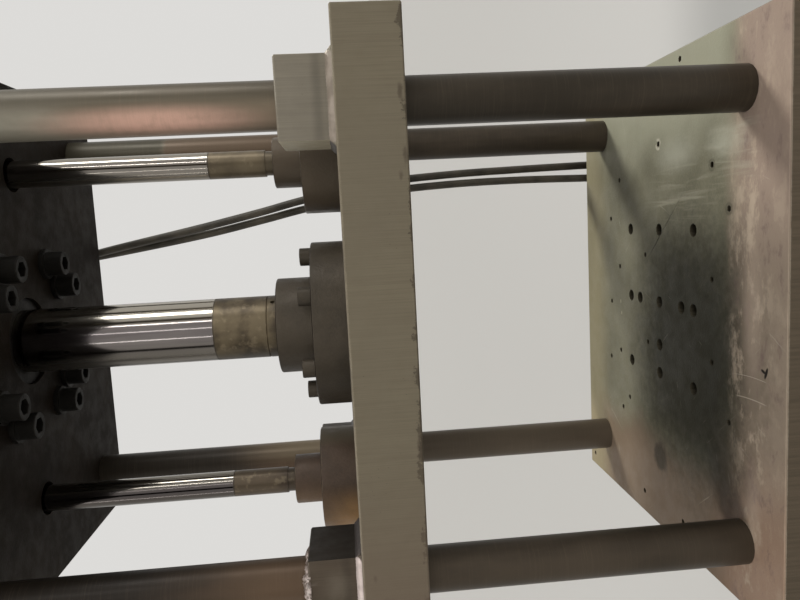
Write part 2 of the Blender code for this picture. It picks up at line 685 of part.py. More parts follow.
def build_cap_screw(name, place, facing, sizes, parts, cutters, material, washer=0.0):
    """A socket-head cap screw. place is under its head, facing is +1 for a head above it.

    sizes is (head diameter, head height, shank diameter, shank length, socket across flats).
    """
    head_diameter, head_height, shank_diameter, shank_length, socket = sizes
    head = head_diameter / 2
    shank = shank_diameter / 2
    profile = [
        (0.0, head_height + washer), (head - SCREW_HEAD_CHAMFER, head_height + washer),
        (head, head_height + washer - SCREW_HEAD_CHAMFER), (head, washer),
    ]
    if washer > 0.0:
        profile += [(WASHER_DIAMETER / 2, washer), (WASHER_DIAMETER / 2, 0.0)]
    profile += [(shank, 0.0), (shank, -shank_length), (0.0, -shank_length)]
    if facing < 0:
        profile = [(radius, -height) for radius, height in reversed(profile)]
    screw = turned(name, profile, SCREW_SEGMENTS, parts, location=place)
    face = Vector(place) + Vector((0.0, 0.0, facing * (head_height + washer)))
    depth = Vector((0.0, 0.0, facing * head_height / 2))
    key = cylinder_along(name + "_socket", face - depth, face + depth, socket / 2, 6, cutters, True)
    combine(screw, key, "DIFFERENCE")
    return finish(screw, material)


def build_return_hub(side, sign, parts, material):
    """The flange and collar that carry a return rod on the platen, turned as one."""
    flange = RETURN_FLANGE_DIAMETER / 2
    collar = RETURN_COLLAR_DIAMETER / 2
    inner = RETURN_THREAD_RADIUS + SEAT_GAP
    low = PLATEN_TOP + SEAT_GAP
    step = low + RETURN_FLANGE_THICKNESS
    high = step + RETURN_COLLAR_HEIGHT
    profile = [
        (collar - HUB_CHAMFER, high), (collar, high - HUB_CHAMFER), (collar, step),
        (flange - HUB_CHAMFER, step), (flange, step - HUB_CHAMFER), (flange, low),
        (inner, low), (inner, high),
    ]
    hub = turned("return_hub_" + side, profile, RETURN_SEGMENTS, parts, closed=True,
                 location=(sign * RETURN_X, 0.0, 0.0))
    return finish(hub, material)


def build_return_rod(side, sign, parts, material):
    """A return rod: thread in the hub, plated shaft, and the piston in its cylinder."""
    radius = RETURN_ROD_DIAMETER / 2
    thread = RETURN_THREAD_RADIUS
    piston = RETURN_BORE / 2 - SLIDE_CLEARANCE
    low = PLATEN_TOP + SEAT_GAP
    shoulder = low + RETURN_FLANGE_THICKNESS + RETURN_COLLAR_HEIGHT + RETURN_THREAD_SHOWS
    profile = [
        (0.0, RETURN_PISTON_TOP), (piston, RETURN_PISTON_TOP), (piston, RETURN_PISTON_BASE),
        (radius, RETURN_PISTON_BASE), (radius, shoulder), (thread, shoulder),
        (thread, low), (0.0, low),
    ]
    rod = turned("return_rod_" + side, profile, RETURN_SEGMENTS, parts,
                 location=(sign * RETURN_X, 0.0, 0.0))
    return finish(rod, material)


def build_main_tube(parts, cutters, material):
    """The cylinder barrel with the foot flange that the crown screws pull down on the crown."""
    outer = MAIN_OUTER_RADIUS
    bore = MAIN_BORE / 2
    foot = MAIN_FOOT_RADIUS
    low = CROWN_TOP + SEAT_GAP
    step = low + MAIN_FOOT_THICKNESS
    profile = [
        (outer, MAIN_TUBE_TOP), (outer, step), (foot - CYLINDER_CHAMFER, step),
        (foot, step - CYLINDER_CHAMFER), (foot, low), (bore, low), (bore, MAIN_TUBE_TOP),
    ]
    tube = turned("main_cylinder", profile, MAIN_SEGMENTS, parts, closed=True)
    depth = CROWN_SCREW_IN_FOOT + DRILLED_PAST_SCREW
    holes = [
        (x, y, low - MAIN_FOOT_THICKNESS, low + depth, CROWN_SCREW_DIAMETER / 2 + SEAT_GAP,
         SCREW_SEGMENTS)
        for x, y in crown_screw_places()
    ]
    combine(tube, hole_set("foot_drills", holes, cutters), "DIFFERENCE")
    return finish(tube, material)


def build_gland(parts, material):
    """The gland: its flange sits on the crown in the bore, its neck goes down through the crown."""
    inner = RAM_DIAMETER / 2 + SLIDE_CLEARANCE
    flange = MAIN_BORE / 2 - SEAT_GAP
    neck = MAIN_GLAND_RADIUS
    step = CROWN_TOP + SEAT_GAP
    low = CROWN_BOTTOM + MAIN_GLAND_RECESS
    profile = [
        (flange, GLAND_TOP), (flange, step), (neck, step), (neck, low + HUB_CHAMFER),
        (neck - HUB_CHAMFER, low), (inner, low), (inner, GLAND_TOP),
    ]
    gland = turned("main_gland", profile, MAIN_SEGMENTS, parts, closed=True)
    return finish(gland, material)


def arc_points(centre, radius, start, end, to_point):
    """Points along an arc from start to end degrees, placed by to_point(across, up)."""
    points = []
    for i in range(BEND_STEPS + 1):
        angle = math.radians(start + (end - start) * i / BEND_STEPS)
        points.append(to_point(centre[0] + radius * math.cos(angle),
                               centre[1] + radius * math.sin(angle)))
    return points


def build_main_cap(parts, cutters, material):
    """The end cap with its ring of screw heads and the elbow that the pressing hose leaves."""
    outer = MAIN_OUTER_RADIUS
    spigot = MAIN_BORE / 2 - SEAT_GAP
    seat = MAIN_TUBE_TOP + SEAT_GAP
    low = MAIN_TUBE_TOP - MAIN_CAP_SPIGOT
    profile = [
        (0.0, MAIN_CAP_TOP), (outer - CYLINDER_CHAMFER, MAIN_CAP_TOP),
        (outer, MAIN_CAP_TOP - CYLINDER_CHAMFER), (outer, seat), (spigot, seat),
        (spigot, low), (0.0, low),
    ]
    cap = turned("main_cylinder_cap", profile, MAIN_SEGMENTS, parts)
    sunk = MAIN_CAP_SCREW_HEIGHT / 4
    circle = MAIN_BORE + MAIN_WALL
    heads = [
        (x, y, MAIN_CAP_TOP - sunk, MAIN_CAP_TOP + MAIN_CAP_SCREW_HEIGHT,
         MAIN_CAP_SCREW_DIAMETER / 2, 6)
        for x, y in ring_places(MAIN_CAP_SCREW_COUNT, circle, 180.0 / MAIN_CAP_SCREW_COUNT)
    ]
    combine(cap, hole_set("cap_screw_heads", heads, cutters), "UNION")
    hexagon = cylinder_along(
        "elbow_hexagon", (0.0, 0.0, MAIN_CAP_TOP - sunk), (0.0, 0.0, MAIN_CAP_TOP + ELBOW_HEX_HEIGHT),
        ELBOW_HEX_ACROSS_FLATS / 2, 6, cutters, True,
    )
    combine(cap, hexagon, "UNION")
    bend = [Vector((0.0, 0.0, MAIN_CAP_TOP))]
    bend += arc_points((ELBOW_BEND_RADIUS, ELBOW_Z - ELBOW_BEND_RADIUS), ELBOW_BEND_RADIUS,
                       180.0, 90.0, lambda across, up: Vector((0.0, across, up)))
    bend.append(bend[-1] + Vector((0.0, FERRULE_LENGTH / 2, 0.0)))
    elbow = mesh_tube("elbow", bend, ELBOW_DIAMETER / 2, cutters)
    combine(cap, elbow, "UNION")
    ferrule = cylinder_along(
        "elbow_ferrule", PRESSING_HOSE_EXIT - Vector((0.0, FERRULE_LENGTH, 0.0)), PRESSING_HOSE_EXIT,
        FERRULE_DIAMETER / 2, PIPE_SEGMENTS, cutters,
    )
    combine(cap, ferrule, "UNION")
    return finish(cap, material)


def build_return_cylinder(side, sign, parts, cutters, material):
    """A return cylinder: foot, gland bore, barrel and cap, with a port boss and nipple at the back."""
    outer = RETURN_OUTER_RADIUS
    bore = RETURN_BORE / 2
    inner = RETURN_ROD_DIAMETER / 2 + SLIDE_CLEARANCE
    foot = RETURN_FOOT_DIAMETER / 2
    step = RETURN_BASE + RETURN_FOOT_THICKNESS
    top = RETURN_BORE_TOP + RETURN_CAP_THICKNESS
    profile = [
        (0.0, top), (outer - CYLINDER_CHAMFER, top), (outer, top - CYLINDER_CHAMFER),
        (outer, step), (foot, step), (foot, RETURN_BASE), (inner, RETURN_BASE),
        (inner, RETURN_BORE_BASE), (bore, RETURN_BORE_BASE), (bore, RETURN_BORE_TOP),
        (0.0, RETURN_BORE_TOP),
    ]
    x = sign * RETURN_X
    cylinder = turned("return_cylinder_" + side, profile, RETURN_SEGMENTS, parts,
                      location=(x, 0.0, 0.0))
    circle = RETURN_FOOT_DIAMETER / 2 + outer
    heads = [
        (x + dx, dy, step - RETURN_FOOT_SCREW_HEIGHT / 2, step + RETURN_FOOT_SCREW_HEIGHT,
         RETURN_FOOT_SCREW_DIAMETER / 2, 6)
        for dx, dy in ring_places(RETURN_FOOT_SCREW_COUNT, circle, 180.0 / RETURN_FOOT_SCREW_COUNT)
    ]
    combine(cylinder, hole_set(f"foot_heads_{side}", heads, cutters), "UNION")
    boss = cylinder_along(
        f"port_boss_{side}", (x, bore + RETURN_WALL / 2, RETURN_PORT_Z), (x, RETURN_PORT_Y, RETURN_PORT_Z),
        PORT_BOSS_DIAMETER / 2, PIPE_SEGMENTS, cutters,
    )
    combine(cylinder, boss, "UNION")
    nipple = cylinder_along(
        f"port_nipple_{side}", (x, RETURN_PORT_Y - PORT_BOSS_REACH / 2, RETURN_PORT_Z),
        (x, PIPE_NUT_FRONT - SEAT_GAP, RETURN_PORT_Z), PIPE_DIAMETER / 2, PIPE_SEGMENTS, cutters,
    )
    combine(cylinder, nipple, "UNION")
    return finish(cylinder, material)


def build_return_line(parts, cutters, material):
    """The pipe between the return cylinders, with its nuts, its tee and the hose ferrule."""
    radius = PIPE_BEND_RADIUS
    start = PIPE_BACK - radius
    z = RETURN_PORT_Z
    line = arc_points((-RETURN_X + radius, start), radius, 180.0, 90.0,
                      lambda x, y: Vector((x, y, z)))
    line += arc_points((RETURN_X - radius, start), radius, 90.0, 0.0,
                       lambda x, y: Vector((x, y, z)))
    pipe = mesh_tube("return_line", line, PIPE_DIAMETER / 2, parts)
    for side, sign in SIDES.items():
        near = Vector((sign * RETURN_X, PIPE_NUT_FRONT, z))
        far = near + Vector((0.0, PIPE_NUT_LENGTH, 0.0))
        nut = cylinder_along(f"pipe_nut_{side}", near, far, PIPE_NUT_DIAMETER / 2, 6, cutters, True)
        combine(pipe, nut, "UNION")
    tee = box("tee", (TEE_LENGTH, TEE_SIZE, TEE_SIZE), (TEE_X, PIPE_BACK, z), cutters, HUB_CHAMFER)
    combine(pipe, tee, "UNION")
    ferrule = cylinder_along(
        "tee_ferrule", (TEE_X, PIPE_BACK, z), RETURN_HOSE_EXIT, FERRULE_DIAMETER / 2,
        PIPE_SEGMENTS, cutters,
    )
    combine(pipe, ferrule, "UNION")
    return finish(pipe, material)


def smooth_route(points, spacing):
    """A smooth curve through the points, read off at even steps of about that spacing."""
    knots = [points[0] * 2 - points[1], *points, points[-1] * 2 - points[-2]]
    fine = [points[0]]
    for i in range(1, len(knots) - 2):
        a, b, c, d = knots[i - 1:i + 3]
        for k in range(1, ROUTE_STEPS + 1):
            t = k / ROUTE_STEPS
            fine.append((b * 2 + (c - a) * t + (a * 2 - b * 5 + c * 4 - d) * t ** 2
                         + (b * 3 - a - c * 3 + d) * t ** 3) / 2)
    lengths = [0.0]
    for before, after in zip(fine, fine[1:]):
        lengths.append(lengths[-1] + (after - before).length)
    count = max(2, round(lengths[-1] / spacing))
    even = []
    k = 0
    for i in range(count + 1):
        wanted = lengths[-1] * i / count
        while k < len(fine) - 2 and lengths[k + 1] < wanted:
            k += 1
        share = (wanted - lengths[k]) / (lengths[k + 1] - lengths[k])
        even.append(fine[k].lerp(fine[k + 1], share))
    return even


def coil_point(coil, turned_by):
    """A point of the coil's centreline, which winds clockwise down to the floor, and its heading."""
    angle = math.radians(coil["start_degrees"]) - math.tau * turned_by
    height = HOSE_RADIUS + HOSE_DIAMETER * (coil["turns"] - turned_by)
    x, y = coil["centre"]
    point = Vector((x + COIL_RADIUS * math.cos(angle), y + COIL_RADIUS * math.sin(angle), height))
    return point, Vector((math.sin(angle), -math.cos(angle), 0.0))


def clear_of_coil(half_width):
    """How far along its tangent a straight piece of that half width is clear of the coil."""
    outside = COIL_RADIUS + HOSE_RADIUS + SEAT_GAP
    return math.sqrt(outside ** 2 - (COIL_RADIUS - half_width) ** 2)


def build_hose(word, hose_exit, route, coil, parts, materials):
    """A hose down to its coil, the coil as one ring, and the swivel fitting at the far end.

    The ring is turned so that one of its facets' edges meets the fitting.
    """
    high = HOSE_DIAMETER * (coil["turns"] + 0.5)
    entry, heading = coil_point(coil, 0.0)
    stop = entry - heading * (clear_of_coil(HOSE_RADIUS) - SEAT_GAP)
    stop.z = high - HOSE_RADIUS / 2
    knots = [hose_exit + Vector((0.0, reach, 0.0)) for reach in (SEAT_GAP, HOSE_LEAD)]
    knots += [Vector(point) for point in route]
    knots += [stop - heading * HOSE_RUN_IN + Vector((0.0, 0.0, HOSE_RADIUS / 2)), stop]
    line = smooth_route(knots, HOSE_POINT_SPACING)
    hose = curve_tube(f"{word}_hose", line, HOSE_RADIUS, parts)
    finish(hose, materials["hose"])

    stem = FERRULE_DIAMETER / 2
    leave, heading = coil_point(coil, coil["turns"])
    reach = clear_of_coil(stem)
    begin = leave + heading * reach
    begin.z = HOSE_RADIUS + TAIL_LIFT

    outer = COIL_RADIUS + HOSE_RADIUS
    inner = COIL_RADIUS - HOSE_RADIUS
    profile = [(outer, high), (outer, 0.0), (inner, 0.0), (inner, high)]
    ring = turned(f"{word}_hose_coil", profile, COIL_SEGMENTS, parts, closed=True,
                  location=(*coil["centre"], 0.0))
    meets = math.atan2(reach, COIL_RADIUS - stem)
    turned_to = math.radians(coil["start_degrees"]) - math.tau * coil["turns"] - meets
    ring.rotation_euler = (0.0, 0.0, turned_to)
    finish(ring, materials["hose"])

    nut = END_NUT_DIAMETER / 2
    length = END_STEM_LENGTH + END_NUT_LENGTH
    profile = [
        (0.0, length), (nut - HUB_CHAMFER, length), (nut, length - HUB_CHAMFER),
        (nut, END_STEM_LENGTH), (stem, END_STEM_LENGTH), (stem, 0.0), (0.0, 0.0),
    ]
    fitting = turned(f"{word}_hose_fitting", profile, PIPE_SEGMENTS, parts, location=begin)
    fitting.rotation_mode = "QUATERNION"
    fitting.rotation_quaternion = heading.to_track_quat("Z", "Y")
    finish(fitting, materials["fitting"])


def make_materials():
    return {
        "bed": make_material("bed_steel", (0.19, 0.17, 0.14), 0.7, 0.55),
        "platen": make_material("platen_steel", (0.27, 0.25, 0.20), 0.6, 0.5),
        "crown": make_material("crown_paint", (0.045, 0.042, 0.040), 0.1, 0.6),
        "leg": make_material("leg_paint", (0.06, 0.06, 0.055), 0.0, 0.6),
        "column": make_material("column_steel", (0.09, 0.065, 0.05), 0.8, 0.4),
        "chrome": make_material("ram_chrome", (0.62, 0.60, 0.60), 1.0, 0.12),
        "black": make_material("black_steel", (0.035, 0.032, 0.030), 0.6, 0.45),
        "tan": make_material("hub_steel", (0.20, 0.13, 0.085), 0.6, 0.5),
        "bronze": make_material("bush_bronze", (0.45, 0.28, 0.12), 1.0, 0.35),
        "cylinder": make_material("cylinder_paint", (0.05, 0.05, 0.048), 0.1, 0.5),
        "pipe": make_material("pipe_steel", (0.30, 0.29, 0.27), 0.9, 0.4),
        "hose": make_material("hose_rubber", (0.018, 0.018, 0.018), 0.0, 0.6),
        "fitting": make_material("fitting_steel", (0.45, 0.43, 0.38), 1.0, 0.35),
    }


def build_frame(parts, cutters, materials):
    """The bed on its legs, the columns with their nuts, and the crown."""
    build_bed(parts, cutters, materials["bed"])
    for corner, signs in CORNERS.items():
        build_leg(corner, signs, parts, cutters, materials["leg"])
        build_column(corner, signs, parts, materials["column"])
        build_nut("bed_nut_" + corner, signs, BED_BOTTOM, -1, parts, cutters, materials["black"])
        build_nut("crown_nut_" + corner, signs, CROWN_TOP, 1, parts, cutters, materials["black"])
    build_crown(parts, cutters, materials["crown"])


def build_hydraulics(parts, cutters, materials):
    """The cylinders on the crown, with their screws, pipe and hoses."""
    build_main_tube(parts, cutters, materials["cylinder"])
    build_gland(parts, materials["black"])
    build_main_cap(parts, cutters, materials["cylinder"])
    shank = SEAT_GAP + CROWN_THICKNESS + SEAT_GAP + CROWN_SCREW_IN_FOOT
    sizes = (CROWN_SCREW_HEAD_DIAMETER, CROWN_SCREW_HEAD_HEIGHT, CROWN_SCREW_DIAMETER, shank,
             CROWN_SCREW_SOCKET)
    for number, (x, y) in enumerate(crown_screw_places(), 1):
        place = (x, y, CROWN_BOTTOM - SEAT_GAP)
        build_cap_screw(f"crown_screw_{number}", place, -1, sizes, parts, cutters,
                        materials["black"], WASHER_THICKNESS)
    for side, sign in SIDES.items():
        build_return_cylinder(side, sign, parts, cutters, materials["cylinder"])
    build_return_line(parts, cutters, materials["pipe"])
    build_hose("pressing", PRESSING_HOSE_EXIT, PRESSING_ROUTE, PRESSING_COIL, parts, materials)
    build_hose("return", RETURN_HOSE_EXIT, RETURN_ROUTE, RETURN_COIL, parts, materials)


def build_moving(parts, cutters, materials):
    """Everything that travels with the platen, hung from one empty on the press's axis."""
    made = [build_platen(parts, cutters, materials["platen"])]
    for corner, signs in CORNERS.items():
        made.append(build_block(corner, signs, parts, cutters, materials["platen"]))
        made.append(build_bush(corner, signs, parts, materials["bronze"]))
    made.append(build_ram(parts, cutters, materials["chrome"]))
    made.append(build_main_flange(parts, cutters, materials["black"]))
    made.append(build_main_collar(parts, materials["black"]))
    flange_top = PLATEN_TOP + SEAT_GAP + MAIN_FLANGE_THICKNESS
    sizes = (FLANGE_SCREW_HEAD_DIAMETER, FLANGE_SCREW_HEAD_HEIGHT, FLANGE_SCREW_DIAMETER,
             MAIN_FLANGE_THICKNESS + 2 * SEAT_GAP + FLANGE_SCREW_IN_PLATEN, FLANGE_SCREW_SOCKET)
    places = ring_places(FLANGE_SCREW_COUNT, FLANGE_SCREW_CIRCLE)
    for number, (x, y) in enumerate(places, 1):
        place = (x, y, flange_top + SEAT_GAP)
        made.append(build_cap_screw(f"flange_screw_{number}", place, 1, sizes, parts, cutters,
                                    materials["black"]))
    for side, sign in SIDES.items():
        made.append(build_return_hub(side, sign, parts, materials["tan"]))
        made.append(build_return_rod(side, sign, parts, materials["chrome"]))
    travel = bpy.data.objects.new("platen_travel", None)
    travel.location = (0.0, 0.0, PLATEN_BOTTOM)
    parts.objects.link(travel)
    bpy.context.view_layer.update()
    for obj in made:
        obj.parent = travel
        obj.matrix_parent_inverse = travel.matrix_world.inverted()


def main():
    clear_scene()
    parts = make_collection("hydraulic_press")
    cutters = make_collection("cutters")
    materials = make_materials()
    build_frame(parts, cutters, materials)
    build_hydraulics(parts, cutters, materials)
    build_moving(parts, cutters, materials)


main()
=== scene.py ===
"""Looks for the four-column hydraulic press: materials, hoses, floor, light and camera."""

import json
import math

import bmesh
import bpy
import mathutils
from mathutils import Matrix, Vector

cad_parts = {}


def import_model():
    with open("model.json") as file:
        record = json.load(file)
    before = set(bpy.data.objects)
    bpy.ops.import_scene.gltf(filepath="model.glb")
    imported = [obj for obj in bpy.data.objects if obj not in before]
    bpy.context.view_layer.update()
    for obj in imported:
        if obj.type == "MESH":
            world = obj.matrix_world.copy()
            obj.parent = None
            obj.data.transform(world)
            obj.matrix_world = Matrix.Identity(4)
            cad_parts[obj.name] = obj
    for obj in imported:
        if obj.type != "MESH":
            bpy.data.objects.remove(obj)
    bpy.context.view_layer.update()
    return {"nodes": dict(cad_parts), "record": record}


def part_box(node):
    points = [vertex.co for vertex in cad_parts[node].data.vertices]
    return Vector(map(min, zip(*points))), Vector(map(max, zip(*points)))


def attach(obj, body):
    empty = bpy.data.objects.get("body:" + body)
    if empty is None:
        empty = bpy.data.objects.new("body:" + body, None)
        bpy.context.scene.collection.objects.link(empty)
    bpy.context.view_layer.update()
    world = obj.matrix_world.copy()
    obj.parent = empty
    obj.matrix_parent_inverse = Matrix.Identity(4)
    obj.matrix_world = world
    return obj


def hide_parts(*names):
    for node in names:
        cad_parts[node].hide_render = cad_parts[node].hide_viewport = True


# Heights on the press, in metres
BED_TOP = 0.762
PLATEN_BOTTOM = 1.505
PLATEN_TOP = 1.638

# Hoses, as the solid model routes them
HOSE_DIAMETER = 0.027
HOSE_RADIUS = HOSE_DIAMETER / 2
HOSE_LEAD = 0.084
HOSE_RUN_IN = 0.060
SEAT_GAP = 0.0003
COIL_RADIUS = HOSE_DIAMETER * 5.5
KNOTS_PER_TURN = 16
FERRULE_RADIUS = 0.018
TAIL_LIFT = 0.006
ROUTE_SPACING = 0.012
PRESSING_EXIT = Vector((0.0, 0.091, 3.6892))
PRESSING_ROUTE = (
    (0.003, 0.210, 3.680), (0.020, 0.325, 3.635), (0.052, 0.435, 3.540), (0.090, 0.530, 3.390),
    (0.122, 0.600, 3.190), (0.148, 0.645, 2.950), (0.170, 0.666, 2.700), (0.196, 0.672, 2.483),
    (0.248, 0.668, 2.144), (0.290, 0.664, 1.930), (0.326, 0.660, 1.759), (0.369, 0.656, 1.500),
    (0.386, 0.653, 1.250), (0.390, 0.652, 1.000), (0.386, 0.651, 0.750), (0.382, 0.651, 0.520),
    (0.374, 0.651, 0.330), (0.352, 0.651, 0.206), (0.308, 0.651, 0.119), (0.244, 0.651, 0.070),
)
PRESSING_COIL = {"centre": (0.02, 0.80), "start_degrees": -90.0, "turns": 1.5}
RETURN_EXIT = Vector((0.170, 0.3913, 2.7177))
RETURN_ROUTE = (
    (0.173, 0.558, 2.694), (0.181, 0.617, 2.634), (0.194, 0.640, 2.550), (0.219, 0.642, 2.430),
    (0.274, 0.642, 2.144), (0.319, 0.644, 1.930), (0.358, 0.646, 1.759), (0.403, 0.648, 1.500),
    (0.421, 0.650, 1.250), (0.428, 0.651, 1.000), (0.432, 0.651, 0.750), (0.434, 0.651, 0.500),
    (0.434, 0.651, 0.330), (0.434, 0.651, 0.208), (0.427, 0.671, 0.133), (0.407, 0.725, 0.082),
)
RETURN_COIL = {"centre": (0.475, 0.975), "start_degrees": -160.0, "turns": 2.0}

# The strap round each coil, this many turns after the hose enters it
TIE_TURNS = 0.30
TIE_WIDTH = 0.016
TIE_THICKNESS = 0.0012
TIE_FLOOR_GAP = 0.0004

# The camera of the photograph, which lies on its side: the press's up is the picture's left
CAMERA_PLACE = Vector((0.2658, -1.8619, 1.6313))
CAMERA_RIGHT = Vector((-0.0509, -0.0795, -0.9955))
CAMERA_UP = Vector((0.9921, 0.1107, -0.0596))
CAMERA_LENS = 30.95
CAMERA_SENSOR = 36.0

# The plated lengths of the ram and the return rods begin at these heights
RAM_PLATED_FROM = 1.987
ROD_PLATED_FROM = 1.975
PLATED_ROUGHNESS = 0.11
DULL_PLATED_ROUGHNESS = 0.30
BARE_ROUGHNESS = 0.42

# Shading and edges: pieces whose edges are lightly rounded, and by how much
SHARP_DEGREES = 32.0
SPLIT_CORNER_GAP = 0.00002
EDGE_ROUNDING = 0.0015
ROUNDED = ("bed_plate", "platen_plate", "crown_plate", "guide_block", "leg_", "bed_nut", "crown_nut",
           "main_flange", "main_collar", "flange_screw", "crown_screw", "return_hub", "main_cylinder_cap")

# Weld runs: the solid's leg, how far the run stands off it, the step along the run, the steps a
# corner is rounded over, and the profile as shares of the leg, out and up
WELD_LEG = 0.012
WELD_STAND_OFF = 0.0008
WELD_STEP = 0.0022
WELD_TURN_STEPS = 4
WELD_PROFILE = ((-0.08, -0.05), (1.0, -0.05), (0.97, 0.05), (0.62, 0.50), (0.05, 1.0), (-0.08, 1.0))
WELD_LOOKS = {"front_left": "pale_weld", "front_right": "clean_weld",
              "rear_left": "dark_weld", "rear_right": "dark_weld"}

# Grease round a column: its gap to the column, spread, height, points round it and profile
GREASE_STAND_OFF = 0.004
GREASE_SPREAD = 0.034
GREASE_HEIGHT = 0.016
GREASE_STEPS = 150
GREASE_PROFILE = ((0.0, -0.05), (1.0, -0.05), (0.9, 0.30), (0.6, 0.75), (0.25, 1.0), (0.0, 0.9))

# Marks on the bed's top: place across and along, in metres
# holes with painted shade round their rims
HOLES_WITH_PAINTED_SHADE = ((0.254, -0.353), (0.358, -0.279), (-0.203, -0.19), (0.203, -0.19))
WORN_HOLE = (0.437, 0.0)
SCRATCH_DEGREES = (25.0, -40.0, 70.0)
BED_MARK_DEPTH = 0.2

# Dark scuffs on the platen's front: place across, height, half width and half height
PLATEN_FRONT = -0.57
PLATEN_SCUFF_DEPTH = 0.02
PLATEN_SCUFFS = ((0.345, 1.522, 0.011, 0.005), (0.385, 1.512, 0.018, 0.005), (-0.435, 1.613, 0.009, 0.004),
                 (0.50, 1.516, 0.014, 0.005), (-0.17, 1.512, 0.03, 0.005))

# Plain lamps: azimuth and elevation in degrees, strength, spread in degrees, colour
KEY_SUN = (135.0, 50.0, 2.1, 11.0, (1.0, 1.0, 0.95))
SECOND_SUN = (-52.0, 66.0, 1.3, 12.0, (1.0, 0.97, 0.94))
FILL_SUN = (12.0, 4.0, 1.9, 36.0, (1.0, 1.0, 1.0))
SUN_DISTANCE = 6.0

# Upright strip lamps: azimuth in degrees from the front, width in metres, brightness
STREAKS = ((-57.0, 0.12, 6.0), (-16.0, 0.07, 9.0), (16.0, 0.07, 9.0), (41.0, 0.09, 20.0), (78.0, 0.60, 13.0))
STRIP_LENGTH = 1.7
STRIP_DISTANCE = 3.6
STRIP_HEIGHT = 3.05

WORLD_LIGHT = (1.0, 0.99, 0.97)
WORLD_STRENGTH = 0.14
WORLD_SHOWN = (0.72, 0.71, 0.69)
FLOOR_COLOUR = (0.50, 0.49, 0.475)
FLOOR_SIZE = 60.0


# ---- materials


INPUT_NAMES = {"base_color": "Base Color", "metallic": "Metallic", "roughness": "Roughness",
               "specular": "Specular IOR Level"}


